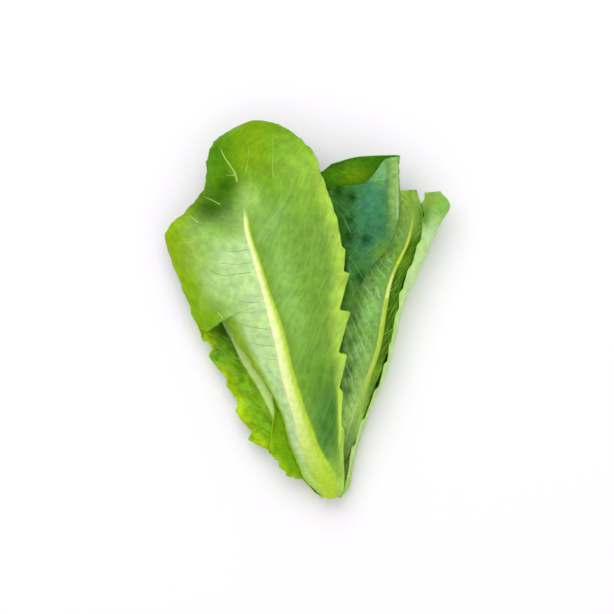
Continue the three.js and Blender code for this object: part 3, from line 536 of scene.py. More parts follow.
LEFT_INNER = dict(
    left=(134, 186, 30), right=(122, 176, 24), tip=(140, 184, 20), butt=(120, 176, 20),
    margin=((178, 206, 20), (130, 176, 30)), margin_width=(8, 6),
    # its rib is pale, and painted paler still as light against the shade under the front leaf's margin
    rib=((224, 255, 156), (208, 252, 134), (160, 200, 80)),
    veins=((190, 224, 100), (190, 224, 100), 0.45),
    spots=[
        # painted shade beside the rib, bluer on the bulge, and bright yellow-green under the front leaf's
        # lobe, which carries on the lobe's margin and paints light over its shadow
        (-57, -11, 5, 9, 25, (44, 100, 0), 0.85),
        (-47.5, -28, 3.5, 12, 30, (70, 130, 4), 0.8),
        (-61, -31, 7, 8, 0, (92, 158, 56), 0.8),
        (-69, -15, 6, 9, 20, (206, 238, 40), 0.95),
        (-46, -84, 6, 12, 45, (84, 140, 4), 0.7),
        (-58, -52, 5, 9, 30, (104, 160, 6), 0.6),
    ],
)
HEART_INNER = dict(
    left=(120, 168, 8), right=(112, 160, 8), tip=YOUNG["tip"], butt=(100, 152, 14),
    margin=((150, 186, 16), (120, 166, 10)), margin_width=(4, 3),
    rib=((112, 162, 10), (112, 162, 10), (112, 162, 20)),
    veins=((160, 196, 60), (160, 196, 60), 0.3),
    # painted shade in the dark slit under the front leaf's margin
    spots=[(-22, -58, 5, 14, -20, (84, 132, 22), 0.9)],
)
BLUE_VEIN = (124, 172, 120)
RIGHT_INNER_OUTER = dict(
    left=(70, 128, 70), right=(60, 116, 46), tip=(76, 134, 66), butt=(140, 186, 100),
    margin=((96, 152, 96), (64, 118, 30)), margin_width=(5, 5),
    rib=((150, 190, 110), (150, 190, 110), (150, 190, 100)),
    veins=((120, 172, 120), (112, 166, 112), 0.4),
    spots=[
        # the blue-green middle, and the shade beside the front leaf
        (42, 72, 12, 24, 0, (66, 130, 100), 0.95),
        (40, 46, 12, 16, 0, (56, 116, 84), 0.85),
        (22, 52, 7, 42, 0, (44, 92, 16), 0.85),
        # the pale strip along the fold, the fresher green lower down, painted shade beside the front leaf's
        # edge, and paler near the tip
        (57, 84, 4.2, 34, 0, (150, 186, 104), 0.95),
        (50, 36, 8, 8, 0, (118, 166, 56), 0.85),
        (33, 4, 14, 16, 0, (104, 158, 76), 0.95),
        # painted shade beside the front leaf's edge
        (26, -12, 6, 20, 0, (60, 108, 24), 0.8),
        (27, 12, 6, 8, 0, (54, 96, 8), 0.6),
        # paler near the tip
        (47, 91, 5, 9, 0, (134, 190, 128), 0.85),
        # the dimples' shaded floors
        (20, 78, 3.5, 6, 0, (16, 62, 4), 0.95),
        (29, 74, 3.2, 4.5, 0, (18, 66, 14), 0.95),
        (28, 59, 3, 4, 0, (22, 72, 12), 0.8),
        (37.5, 46, 3.6, 4, 0, (16, 78, 24), 0.95),
        (27, 48, 3.6, 6, 0, (20, 68, 8), 0.9),
        (34, 21, 4, 6, 0, (22, 72, 8), 0.9),
    ],
    strokes=[
        (BLUE_VEIN, 0.5, 0.5, [(28.5, 50), (25.6, 56), (23.2, 61), (21, 65)]),
        (BLUE_VEIN, 0.5, 0.5, [(36, 21), (32, 28), (28.4, 33), (26, 37)]),
        # the pale fold, and the shade along it
        ((196, 226, 156), 1.4, 0.4, [(59, 58), (58.8, 80), (58.6, 101)]),
        ((60, 114, 44), 1, 0.4, [(52.4, 56), (52, 78), (52.6, 96)]),
    ],
)
RIGHT_INNER_INNER = dict(
    left=(56, 108, 4), right=(54, 108, 4), tip=(64, 120, 4), butt=(140, 184, 90),
    margin=((70, 122, 20), (70, 122, 20)), margin_width=(4, 4),
    rib=((84, 136, 30), (84, 136, 30), (150, 190, 90)),
    veins=((96, 146, 50), (96, 146, 50), 0.3),
    spots=[(31, 88, 9, 6, 0, (116, 150, 0), 0.85)],
)
GOLD_VEIN = (156, 196, 70)
RIGHT_MIDDLE_INNER = dict(
    # its right half is painted in shade, where the outer leaf's margin leans over it
    left=(114, 162, 70), right=(60, 104, 0), tip=(136, 176, 70), tip_from=(0.78, 0.9), butt=(146, 192, 104),
    margin=((100, 148, 60), (66, 112, 0)), margin_width=(4, 3), near=((134, 176, 84), 9, 0.3),
    rib=((188, 216, 96), (176, 202, 60), (160, 206, 108)),
    veins=((168, 212, 136), (130, 174, 60), 0.75),
    spots=[
        # the yellow tip, and the blade beside the rib, with painted shade right of the rib under the outer
        # leaf's margin
        (62, 74, 5, 7, 0, (150, 180, 10), 0.9),
        (59, 33, 8, 5, -30, (122, 170, 28), 0.8),
        (76, 56, 4, 12, 0, (84, 132, 26), 0.8),
        # the stalk, its pale colour raised further as painted light against the shade of the leaves around
        # it, with the blade's last green strip beside it
        (29, -78, 12, 32, -10, (206, 246, 136), 0.95),
        (42, -60, 2.6, 13, -14, (104, 158, 4), 0.95),
        (46, -42, 6, 5, 0, (118, 170, 40), 0.8),
        # painted shade where it goes under the front leaf, and two paler patches beside it
        (27, -40, 4, 6, -10, (40, 90, 10), 0.9),
        (26, -54, 3, 5, 10, (46, 96, 14), 0.8),
        (29, -22, 4, 5, 20, (56, 108, 24), 0.8),
        (31, -6, 4, 6, -20, (60, 112, 30), 0.8),
        (36, 8, 4, 6, -30, (66, 118, 36), 0.6),
        (33, -26, 4, 7, -20, (150, 200, 120), 0.5),
        (42, 0, 5, 9, -20, (156, 204, 120), 0.5),
    ],
    strokes=[
        # the rib's two bright stretches, with the jog between them
        ((232, 246, 164), 1.5, 0.85, [(52, 7), (54, 16), (56.8, 25)]),
        ((216, 226, 80), 1.3, 0.7, [(59, 29.4), (62.6, 37), (66, 44.5), (68.2, 54)]),
        (GOLD_VEIN, 0.45, 0.8, [(70.2, 47.9), (73, 50), (75.6, 52.5)]),
        (GOLD_VEIN, 0.45, 0.8, [(54.1, 11.9), (56.4, 13.6), (58.7, 15.7)]),
        (GOLD_VEIN, 0.45, 0.7, [(51.8, -1.2), (54, 1), (56.4, 3.4)]),
        (GOLD_VEIN, 0.45, 0.8, [(49.5, -17.3), (54.8, -13.5), (58.7, -11.9)]),
    ],
)
RIGHT_OUTER_OUTER = dict(
    left=(188, 220, 156), right=(188, 220, 156), tip=(136, 184, 92), tip_from=(0.8, 0.95),
    butt=(138, 180, 84),
    margin=((164, 202, 130), (178, 212, 130)), margin_width=(4, 3),
    rib=((190, 222, 150), (182, 216, 132), (168, 204, 96)),
    veins=((190, 220, 150), (190, 220, 150), 0.3),
    spots=[
        (81, 72, 6, 7, 20, (144, 164, 60), 0.85),
        (77, 62, 4, 10, -10, (84, 130, 26), 0.9),
        (88, 68, 4, 8, 0, (122, 176, 84), 0.7),
    ],
)
RIGHT_OUTER_INNER = dict(YOUNG, left=(84, 134, 24), right=(84, 134, 24), tip=(120, 168, 40))

# What each leaf's outer and inner face look like, where they aren't as OUTSIDE and YOUNG say.
PAINT = {
    "front_leaf": (FRONT_OUTER, OUTSIDE),
    "left_leaf": (OUTSIDE, LEFT_INNER),
    "heart_leaf_left": (OUTSIDE, HEART_INNER),
    "right_inner_leaf": (RIGHT_INNER_OUTER, RIGHT_INNER_INNER),
    "right_middle_leaf": (OUTSIDE, RIGHT_MIDDLE_INNER),
    "right_outer_leaf": (RIGHT_OUTER_OUTER, RIGHT_OUTER_INNER),
}

# ---------- Small helpers ----------


def clamp01(t):
    return np.clip(t, 0.0, 1.0)


def smooth(t):
    return t * t * (3.0 - 2.0 * t)


def ramp(value, low, high):
    """0 below low, 1 above high, and eased between them; low may be the larger of the two."""
    return smooth(clamp01((value - low) / (high - low)))


def linear(colour):
    """A display colour, 0 to 255, as the linear one that shaders work with."""
    share = np.asarray(colour, float) / 255.0
    return np.where(share <= 0.04045, share / 12.92, ((share + 0.055) / 1.055) ** 2.4)


def between(first, second, share):
    """Linear colours on the way from one display colour to another, by a share for each point."""
    return linear(first) * (1 - share[..., None]) + linear(second) * share[..., None]


def blend(base, colour, share):
    """Moves an array of linear colours towards one display colour by a share for each point."""
    return base + (linear(colour) - base) * share[..., None]


# ---------- Leaf surfaces ----------


def rail_at(rail, u):
    """Points of a uniform Catmull-Rom curve through a rail, at shares u of its length."""
    points = np.array(rail, float)
    spans = len(points) - 1
    points = np.vstack([2 * points[0] - points[1], points, 2 * points[-1] - points[-2]])
    k = np.minimum((u * spans).astype(int), spans - 1)
    t = (u * spans - k)[:, None]
    p0, p1, p2, p3 = points[k], points[k + 1], points[k + 2], points[k + 3]
    slope1, slope2 = (p2 - p0) / 2, (p3 - p1) / 2
    square = -3 * p1 + 3 * p2 - 2 * slope1 - slope2
    return p1 + slope1 * t + square * t**2 + (2 * p1 - 2 * p2 + slope1 + slope2) * t**3


def rib_at(knots, u):
    """The rib's half width and height at u, eased between the places that the leaf states."""
    places, widths, heights = np.array(knots, float).T
    k = np.clip(np.searchsorted(places, u, side="left"), 1, len(places) - 1)
    t = smooth(clamp01((u - places[k - 1]) / (places[k] - places[k - 1])))
    width, height = (size[k - 1] + (size[k] - size[k - 1]) * t for size in (widths, heights))
    return width / 2, height


def tooth_at(row, u):
    """How far an edge with a row of teeth stands out at u.

    A tooth rises steeply from its upper end and then falls away slowly towards the butt.
    """
    reach = np.zeros_like(u)
    for top, depth, run in row:
        below = (top - u) / run
        inside = (below >= 0) & (below < 1) & (reach == 0)
        reach = np.where(inside, depth * smooth(clamp01(below / TOOTH_RISE)) * (1 - below), reach)
    return reach


class Section:
    """The cross-sections of a leaf, one for each u.

    They are creased at the rib, up to where the crease fades, and smooth through a fold.
    """

    def __init__(self, form, u):
        self.posts = np.stack([rail_at(rail, u) for rail in form["rails"]])
        self.last = len(self.posts) - 1
        chords = self.posts[1:] - self.posts[:-1]
        self.widths = np.linalg.norm(chords, axis=2)
        across = np.hypot(chords[..., 0], chords[..., 2])
        across[across == 0] = 1.0
        rise = np.stack([-chords[..., 2], np.zeros_like(across), chords[..., 0]], axis=2)
        rise *= (np.array(form["arches"])[:, None] * self.widths / across)[..., None]
        self.start = chords + 4 * rise
        self.end = chords - 4 * rise
        uncreased = smooth(clamp01((u - form["crease"]) / CREASE_FADE))[:, None]
        for k in range(RIB_RAIL, self.last):
            slope = (self.end[k - 1] + self.start[k]) / 2
            share = uncreased if k == RIB_RAIL else 1.0
            self.end[k - 1] += (slope - self.end[k - 1]) * share
            self.start[k] += (slope - self.start[k]) * share

    def at(self, v):
        """Points at v, an array with a row for each section. v counts the rails from the left."""
        k = np.clip(np.floor(v).astype(int), 0, self.last - 1)
        row = np.arange(v.shape[0])[:, None]
        t = (v - k)[..., None]
        t2, t3 = t**2, t**3
        return (
            self.posts[k, row] * (2 * t3 - 3 * t2 + 1)
            + self.start[k, row] * (t3 - 2 * t2 + t)
            + self.posts[k + 1, row] * (3 * t2 - 2 * t3)
            + self.end[k, row] * (t3 - t2)
        )


def columns_of(section, rib_half, left_steps, right_steps):
    """Where each row's columns stand: even over the blade, and close together over the rib."""
    beside = np.minimum(rib_half / section.widths[RIB_RAIL - 1 : RIB_RAIL + 1], MOST_RIB)
    left, right = RIB_RAIL - beside[0], RIB_RAIL + beside[1]
    middle = np.full_like(left, RIB_RAIL)
    parts = [
        np.linspace(0 * left, left, left_steps, endpoint=False),
        np.linspace(left, middle, RIB_STEPS, endpoint=False),
        np.linspace(middle, right, RIB_STEPS, endpoint=False),
        np.linspace(right, np.full_like(left, section.last), right_steps + 1),
    ]
    return np.concatenate(parts).T


def edges_outward(section, u, is_left):
    """The direction away from the leaf, in its plane, of the edge on each cell's side."""
    step = 0.1
    near = section.at([0, step, section.last, section.last - step] + 0 * u[:, None])
    left, right = near[:, 0] - near[:, 1], near[:, 2] - near[:, 3]
    outward = np.where(is_left[..., None], left[:, None], right[:, None])
    outward[..., 2] *= TOOTH_LEVEL
    return outward / np.linalg.norm(outward, axis=2, keepdims=True)


def leaf_cells(form):
    """The leaf's middle surface on a fine grid, with what its solid and its colours need there."""
    rows, left_steps, right_steps = form["fine"]
    u = np.linspace(0.0, 1.0, rows + 1)
    section = Section(form, u)
    rib_half, rib_height = rib_at(form["rib"], u)
    v = columns_of(section, rib_half, left_steps, right_steps)
    point = section.at(v)
    is_left = v < RIB_RAIL
    side = np.where(is_left, -1, 1)

    right_width = section.widths[RIB_RAIL:].sum(axis=0)
    half_width = np.where(is_left, section.widths[0][:, None], right_width[:, None])
    share = np.where(is_left, RIB_RAIL - v, (v - RIB_RAIL) / (section.last - RIB_RAIL))
    along = (u * form["length"])[:, None] + 0 * v
    to_side = (1 - share) * half_width
    to_tip = ((1 - u) * form["length"])[:, None] + 0 * v
    from_rib = np.linalg.norm(point - section.posts[RIB_RAIL][:, None], axis=2)

    left_teeth, right_teeth = (tooth_at(form[row], u)[:, None] for row in ("left_teeth", "right_teeth"))
    tooth = np.where(is_left, left_teeth, right_teeth) * clamp01(1 - to_side / TOOTH_REACH) ** 2
    point = point + edges_outward(section, u, is_left) * tooth[..., None]

    height, pitch, reach = form["wave"]
    calm, growth = WAVE_START
    edgeness = clamp01(1 - np.minimum(to_side, to_tip) / reach) * clamp01((u - calm) * growth)[:, None]
    turns = along / pitch + share * WAVE_SHIFT[0] + np.where(is_left, 0, WAVE_SHIFT[1])
    point[..., 2] += height * edgeness * np.sin(2 * math.pi * turns)
    for x, y, radius, depth in form["dents"]:
        away = np.hypot(point[..., 0] - x, point[..., 1] - y) / radius
        point[..., 2] -= depth * smooth(clamp01(1 - away))

    rib_share = from_rib / rib_half[:, None]
    return {
        "point": point,
        "u": u[:, None] + 0 * v,
        "v": v,
        "across": side * share * half_width,
        "along": along,
        "to_side": to_side,
        "rib_share": side * rib_share,
        "blade": EDGE_BLADE + (BLADE - EDGE_BLADE) * clamp01(to_side / EDGE_TAPER),
        "ridge_height": rib_height[:, None] + 0 * v,
        "ridge": rib_height[:, None] * clamp01(1 - rib_share**2) ** RIB_FLARE,
    }


def outer_normals(point, outer):
    """The direction of the leaf's outer side at each cell; the cut end stays flat."""
    normal = np.cross(np.gradient(point, axis=1), np.gradient(point, axis=0))
    normal[0, :, 1] = 0.0
    return normal / np.linalg.norm(normal, axis=2, keepdims=True) * outer


def leaf_faces(rows, width):
    """Quads of a closed leaf: the outer face, the inner face and the rim between them."""
    cell = np.arange(rows * width).reshape(rows, width)
    corners = [cell[:-1, :-1], cell[:-1, 1:], cell[1:, 1:], cell[1:, :-1]]
    outer = np.stack(corners, axis=2).reshape(-1, 4)
    start = np.concatenate([cell[0, 1:], cell[-1, :-1], cell[:-1, 0], cell[1:, -1]])
    end = np.concatenate([cell[0, :-1], cell[-1, 1:], cell[1:, 0], cell[:-1, -1]])
    rim = np.stack([start, end, end + cell.size, start + cell.size], axis=1)
    return np.concatenate([outer, outer[:, ::-1] + cell.size, rim])


# ---------- Node trees ----------


class Nodes:
    """Short calls for building a node tree, in a material or in a geometry group."""

    def __init__(self, tree):
        self.tree = tree

    def add(self, kind, inputs=None, **settings):
        node = self.tree.nodes.new(kind)
        for key, value in settings.items():
            setattr(node, key, value)
        for key, value in (inputs or {}).items():
            self.put(value, node.inputs[key])
        return node

    def put(self, value, socket):
        if isinstance(value, bpy.types.NodeSocket):
            self.tree.links.new(value, socket)
        else:
            socket.default_value = value

    def math(self, operation, *values):
        return self.add("ShaderNodeMath", dict(enumerate(values)), operation=operation).outputs[0]

    def scaled(self, vector, factor):
        inputs = {"Vector": vector, "Scale": factor}
        return self.add("ShaderNodeVectorMath", inputs, operation="SCALE").outputs[0]

    def ramp(self, value, low, high, to_low=0.0, to_high=1.0):
        inputs = {"Value": value, "From Min": low, "From Max": high, "To Min": to_low, "To Max": to_high}
        return self.add("ShaderNodeMapRange", inputs, interpolation_type="SMOOTHSTEP").outputs["Result"]

    def vector(self, x, y, z=0.0):
        return self.add("ShaderNodeCombineXYZ", {"X": x, "Y": y, "Z": z}).outputs["Vector"]

    def noise(self, vector, size, detail=2.0):
        """Soft noise from 0 to 1 whose features are about size millimetres across."""
        inputs = {"Vector": vector, "Scale": 1 / size, "Detail": detail}
        return self.add("ShaderNodeTexNoise", inputs).outputs["Fac"]

    def cells(self, dimensions, where, randomness):
        """Distance from the nearest wall between the cells of a Voronoi pattern of size 1."""
        inputs = {"W" if dimensions == "1D" else "Vector": where, "Scale": 1.0, "Randomness": randomness}
        settings = {"voronoi_dimensions": dimensions, "feature": "DISTANCE_TO_EDGE"}
        return self.add("ShaderNodeTexVoronoi", inputs, **settings).outputs["Distance"]

    def mix(self, share, first, second, blend_type="MIX"):
        inputs = {0: share, 6: first, 7: second}
        return self.add("ShaderNodeMix", inputs, data_type="RGBA", blend_type=blend_type).outputs[2]

    def attribute(self, name):
        return self.add("ShaderNodeAttribute", attribute_name=name).outputs

    def millimetres(self):
        """The shaded point in the part's own frame, in millimetres."""
        return self.scaled(self.add("ShaderNodeTexCoord").outputs["Object"], 1 / MM)

    def finish(self, colour, roughness, height, depth, bump_strength, settings):
        """The shader, with relief from a height in units of depth, and the material's output."""
        relief = {"Height": height, "Distance": depth, "Strength": bump_strength}
        normal = self.add("ShaderNodeBump", relief).outputs["Normal"]
        inputs = {"Base Color": colour, "Roughness": roughness, "Normal": normal, **settings}
        surface = self.add("ShaderNodeBsdfPrincipled", inputs).outputs["BSDF"]
        self.add("ShaderNodeOutputMaterial", {"Surface": surface})


def new_material(name):
    material = bpy.data.materials.new(name)
    material.use_nodes = True
    material.node_tree.nodes.clear()
    return material, Nodes(material.node_tree)


def vein_field(nodes, place, habit):
    """Distances in millimetres from the side veins and from the fine net.

    place holds the way across from the rib, negative on the left, and the way along it.
    """
    across, along, _ = nodes.add("ShaderNodeSeparateXYZ", {"Vector": place}).outputs
    from_rib = nodes.math("ABSOLUTE", across)
    on_right = nodes.math("GREATER_THAN", across, 0.0)
    wander = nodes.math("SUBTRACT", nodes.noise(place, WANDER_SIZE), 0.5)
    left_slope, right_slope = habit["slope"]
    slope = nodes.math("MULTIPLY_ADD", on_right, right_slope - left_slope, left_slope)
    climb = nodes.math("MULTIPLY", from_rib, slope)
    bend = nodes.math("MULTIPLY", nodes.math("POWER", from_rib, 2.0), habit["bend"])
    origin = nodes.math("SUBTRACT", nodes.math("SUBTRACT", along, climb), bend)
    origin = nodes.math("MULTIPLY_ADD", wander, habit["wander"], origin)

    pitch, (net_across, net_along) = habit["pitch"], habit["net"]
    phase = nodes.math("MULTIPLY_ADD", on_right, SIDE_SHIFT, nodes.math("DIVIDE", origin, pitch))
    side_vein = nodes.math("MULTIPLY", nodes.cells("1D", phase, VEIN_RANDOM), pitch)
    net_x = nodes.math("MULTIPLY_ADD", on_right, NET_SHIFT, nodes.math("DIVIDE", from_rib, net_across))
    net_x = nodes.math("MULTIPLY_ADD", wander, NET_WANDER, net_x)
    net_y = nodes.math("DIVIDE", origin, net_along)
    net = nodes.math("MULTIPLY", nodes.cells("2D", nodes.vector(net_x, net_y), NET_RANDOM), net_along)
    return side_vein, net, from_rib, along


def add_relief(piece, habit):
    """Puckers the blade between its veins, towards the inner side, by a geometry group."""
    group = bpy.data.node_groups.new(piece.name + "_relief", "GeometryNodeTree")
    for in_out in ("INPUT", "OUTPUT"):
        group.interface.new_socket("Geometry", in_out=in_out, socket_type="NodeSocketGeometry")
    nodes = Nodes(group)
    kind = "GeometryNodeInputNamedAttribute"
    place = nodes.add(kind, {"Name": "place"}, data_type="FLOAT_VECTOR").outputs["Attribute"]
    lift = nodes.add(kind, {"Name": "lift"}, data_type="FLOAT_VECTOR").outputs["Attribute"]
    side_vein, net, from_rib, along = vein_field(nodes, place, habit)
    broad = nodes.ramp(side_vein, 0.0, habit["pitch"] * PUCKER_FLANK[0], 0.0, habit["pucker"][0])
    fine = nodes.ramp(net, 0.0, habit["net"][1] * PUCKER_FLANK[1], 0.0, habit["pucker"][1])
    off_rib, off_butt = nodes.ramp(from_rib, *PUCKER_FROM_RIB), nodes.ramp(along, *PUCKER_FROM_BUTT)
    calm = nodes.math("MULTIPLY", off_rib, off_butt)
    height = nodes.math("MULTIPLY", nodes.math("ADD", broad, fine), calm)
    offset = nodes.scaled(lift, nodes.math("MULTIPLY", height, -MM))
    source = nodes.add("NodeGroupInput").outputs[0]
    moved = nodes.add("GeometryNodeSetPosition", {"Geometry": source, "Offset": offset})
    nodes.add("NodeGroupOutput", {0: moved.outputs[0]})
    piece.modifiers.new("relief", "NODES").node_group = group
    settled = bpy.data.meshes.new_from_object(piece.evaluated_get(bpy.context.evaluated_depsgraph_get()))
    piece.modifiers.clear()
    piece.data = settled


def leaf_material(name, habit):
    """Leaf tissue: its tints, painted light and shade among them, mottled, with painted crinkle shade, side
    veins, a fine net and a grain.
    """
    material, nodes = new_material(name)
    place = nodes.attribute("place")["Vector"]
    vein, stroke_tint = nodes.attribute("vein"), nodes.attribute("stroke_tint")
    side_vein, net, from_rib, _ = vein_field(nodes, place, habit)
    where = nodes.millimetres()

    off_rib = nodes.ramp(from_rib, *BLADE_FROM_RIB)
    broad = nodes.ramp(nodes.noise(where, habit["mottle"], 3.0), 0.35, 0.65, 0.0, habit["mottled"])
    tint = nodes.attribute("tint")["Color"]
    tint = nodes.mix(nodes.math("MULTIPLY", broad, off_rib), tint, habit["fresh"], "SOFT_LIGHT")
    shade = nodes.ramp(nodes.noise(where, 1.6, 3.0), 0.3, 0.7, 0.96, 1.04)
    shade = nodes.math("MULTIPLY", shade, nodes.ramp(net, 0.0, habit["net"][1] * 0.3, 1.06, 0.97))
    # painted shade and light of the crinkled blade, as darker and lighter patches off the rib
    size, depth = habit["painted_crinkle_shade"]
    patches = nodes.ramp(nodes.noise(where, size, 3.0), 0.36, 0.64, -depth, depth)
    shade = nodes.math("MULTIPLY", shade, nodes.math("MULTIPLY_ADD", patches, off_rib, 1.0))
    tint = nodes.mix(1.0, tint, nodes.vector(shade, shade, shade), "MULTIPLY")

    width, soft = habit["vein_width"], habit["vein_soft"]
    breadth = nodes.ramp(from_rib, 0.0, 45.0, width, width * 0.45)
    side_line = nodes.ramp(nodes.math("DIVIDE", side_vein, breadth), 1.0 - soft, 1.0, 1.0, 0.0)
    net_line = nodes.ramp(net, 0.08, habit["net_width"], habit["net_strength"], 0.0)
    fray = nodes.ramp(nodes.noise(place, 9.0), 0.38, 0.6, 0.25, 1.0)
    line = nodes.math("MULTIPLY", nodes.math("MAXIMUM", side_line, net_line), fray)
    share = nodes.math("MULTIPLY", nodes.math("MULTIPLY", line, vein["Alpha"]), off_rib)
    colour = nodes.mix(share, tint, vein["Color"])
    stroke_gap = nodes.math("ABSOLUTE", nodes.attribute("stroke")["Fac"])
    stroke = nodes.math("MULTIPLY", nodes.ramp(stroke_gap, 0.3, 1.0, 1.0, 0.0), stroke_tint["Alpha"])
    colour = nodes.mix(stroke, colour, stroke_tint["Color"])

    relief = habit["vein_relief"]
    raised = nodes.ramp(nodes.attribute("outer")["Fac"], 0.0, 1.0, -relief, relief)
    height = nodes.math("MULTIPLY", nodes.math("MAXIMUM", line, stroke), raised)
    height = nodes.math("MULTIPLY_ADD", nodes.noise(where, 0.7, 4.0), habit["grain"], height)
    rough = habit["rough"]
    roughness = nodes.ramp(nodes.noise(where, 5.0, 3.0), 0.3, 0.7, rough - 0.07, rough + 0.07)
    settings = {
        "Specular IOR Level": habit["specular"],
        "Subsurface Weight": 0.2,
        "Subsurface Radius": (0.7, 1.0, 0.2),
        "Subsurface Scale": 1.5 * MM,
    }
    nodes.finish(colour, roughness, height, MM, 0.8, settings)
    return material


def stem_material():
    """Pale stem tissue, browned and ringed where it was cut."""
    material, nodes = new_material("stem_butt")
    where = nodes.millimetres()
    patches = nodes.ramp(nodes.noise(where, 2.0, 3.0), 0.35, 0.65)
    pale, green, fresh_cut, brown = ((*linear(colour), 1.0) for colour in STEM_COLOURS)
    skin = nodes.mix(patches, pale, green)
    from_axis = nodes.attribute("from_axis")["Fac"]
    rings = nodes.math("SINE", nodes.math("MULTIPLY", from_axis, 2 * math.pi / STEM_RING))
    uneven = nodes.math("MULTIPLY", patches, 0.4)
    browned = nodes.math("MULTIPLY_ADD", nodes.ramp(rings, -0.5, 1.0), 0.35, uneven)
    colour = nodes.mix(nodes.attribute("cut")["Fac"], skin, nodes.mix(browned, fresh_cut, brown))
    roughness = nodes.ramp(patches, 0.0, 1.0, 0.45, 0.6)
    nodes.finish(colour, roughness, nodes.noise(where, 0.6, 4.0), 0.2 * MM, 1.0, {"Specular IOR Level": 0.2})
    return material


# ---------- Colours of the cells ----------


def add_spots(colour, point, spots):
    """Soft ellipses of colour laid over a face."""
    for x, y, half_width, half_length, turn, spot_colour, strength in spots:
        angle = math.radians(turn)
        dx, dy = point[..., 0] - x, point[..., 1] - y
        aside = (dx * math.cos(angle) + dy * math.sin(angle)) / half_width
        ahead = (dy * math.cos(angle) - dx * math.sin(angle)) / half_length
        colour = blend(colour, spot_colour, strength * np.exp(-(aside**2) - ahead**2))
    return colour


def with_alpha(colour, alpha):
    return np.concatenate([colour, alpha[..., None]], axis=2)


def paint_face(cells, face):
    """Linear colours of one face of a leaf, of its veins and of its strokes, cell by cell."""
    u, rib_share = cells["u"], cells["rib_share"]
    right = ramp(rib_share, -1.0, 1.0)
    colour = between(face["left"], face["right"], right)
    colour = blend(colour, face["tip"], ramp(u, *face.get("tip_from", (0.7, 0.95))))
    for side, edge in enumerate((cells["v"] < RIB_RAIL, cells["v"] >= RIB_RAIL)):
        low = face.get("margin_low", 1.0)
        width = face["margin_width"][side] * (low + (1 - low) * ramp(u, 0.3, 0.5))
        on_margin = ramp(cells["to_side"] / width, 1.0, 0.08) * edge
        colour = blend(colour, face["margin"][side], on_margin * ramp(u, 0.9, 0.7))
    if "near" in face:
        near_colour, reach, strength = face["near"]
        beside = np.exp(-((cells["across"] / reach) ** 2)) * (1 - right) * ramp(u, 0.75, 0.6)
        colour = blend(colour, near_colour, beside * strength)
    colour = add_spots(colour, cells["point"], face.get("spots", []))
    colour = blend(colour, face["butt"], ramp(u, 0.24, 0.06))

    rib_left, rib_right, rib_butt = face["rib"]
    rib_colour = blend(between(rib_left, rib_right, ramp(rib_share, -0.6, 0.8)), rib_butt, ramp(u, 0.4, 0.12))
    on_rib = ramp(np.abs(rib_share), 1.1, 0.75) * ramp(cells["ridge_height"], 0.3, 1.0)
    colour = colour + (rib_colour - colour) * on_rib[..., None]
    left_vein, right_vein, strength = face["veins"]
    strength = strength * ramp(u, *face.get("veins_to", (1.2, 1.1)))
    stroke, stroke_tint = draw_strokes(cells["point"], face.get("strokes", []))
    return {
        "tint": with_alpha(colour, np.ones_like(u)),
        "vein": with_alpha(between(left_vein, right_vein, right), strength),
        "stroke": stroke,
        "stroke_tint": stroke_tint,
    }


def draw_strokes(point, strokes):
    """How far each cell is from the nearest stroke, in its widths, and that stroke's colour.

    The distance changes sign across a stroke, so it stays exact between cells. Its strength is 0
    well before the next stroke takes over.
    """
    gap = np.full(point.shape[:2], 1e3)
    offset = np.full(point.shape[:2], 9.0)
    tint = np.zeros(point.shape[:2] + (4,))
    for stroke_colour, width, strength, way in strokes:
        places = np.linspace(0.0, 1.0, 6 * len(way))
        line = rail_at(way, places)
        for k in range(len(line) - 1):
            step = line[k + 1] - line[k]
            dx, dy = point[..., 0] - line[k][0], point[..., 1] - line[k][1]
            t = clamp01((dx * step[0] + dy * step[1]) / (step @ step))
            away = np.hypot(dx - t * step[0], dy - t * step[1])
            closer = away < gap
            gap = np.where(closer, away, gap)
            share = places[k] + t * (places[k + 1] - places[k])
            taper = width * (1 - 0.6 * share)
            side = np.where(dx * step[1] - dy * step[0] > 0, 1.0, -1.0)
            offset = np.where(closer, side * away / taper, offset)
            fade = ramp(away, width + 2.4, width + 1.2) * ramp(share, 0.0, 0.06) * ramp(share, 1.0, 0.8)
            colour = with_alpha(linear(stroke_colour) + 0 * tint[..., :3], strength * fade)
            tint = np.where(closer[..., None], colour, tint)
    return offset, tint


# ---------- Pieces ----------


def add_object(name, data):
    thing = bpy.data.objects.new(name, data)
    bpy.context.scene.collection.objects.link(thing)
    return thing


def new_piece(name, vertices, faces):
    mesh = bpy.data.meshes.new(name)
    mesh.from_pydata(vertices * MM, [], faces)
    mesh.polygons.foreach_set("use_smooth", np.ones(len(faces), bool))
    return add_object(name, mesh)


def store(mesh, name, values):
    """Keeps a number, a vector or a colour for each vertex as an attribute of the mesh."""
    kinds = {1: ("FLOAT", "value"), 3: ("FLOAT_VECTOR", "vector"), 4: ("FLOAT_COLOR", "color")}
    kind, key = kinds[values.size // len(values)]
    attribute = mesh.attributes.new(name, kind, "POINT")
    attribute.data.foreach_set(key, np.ascontiguousarray(values, np.float32).ravel())


def both(outer, inner):
    """One list of vertices' values from the two faces' grids."""
    return np.concatenate([outer.reshape(-1, *outer.shape[2:]), inner.reshape(-1, *inner.shape[2:])])


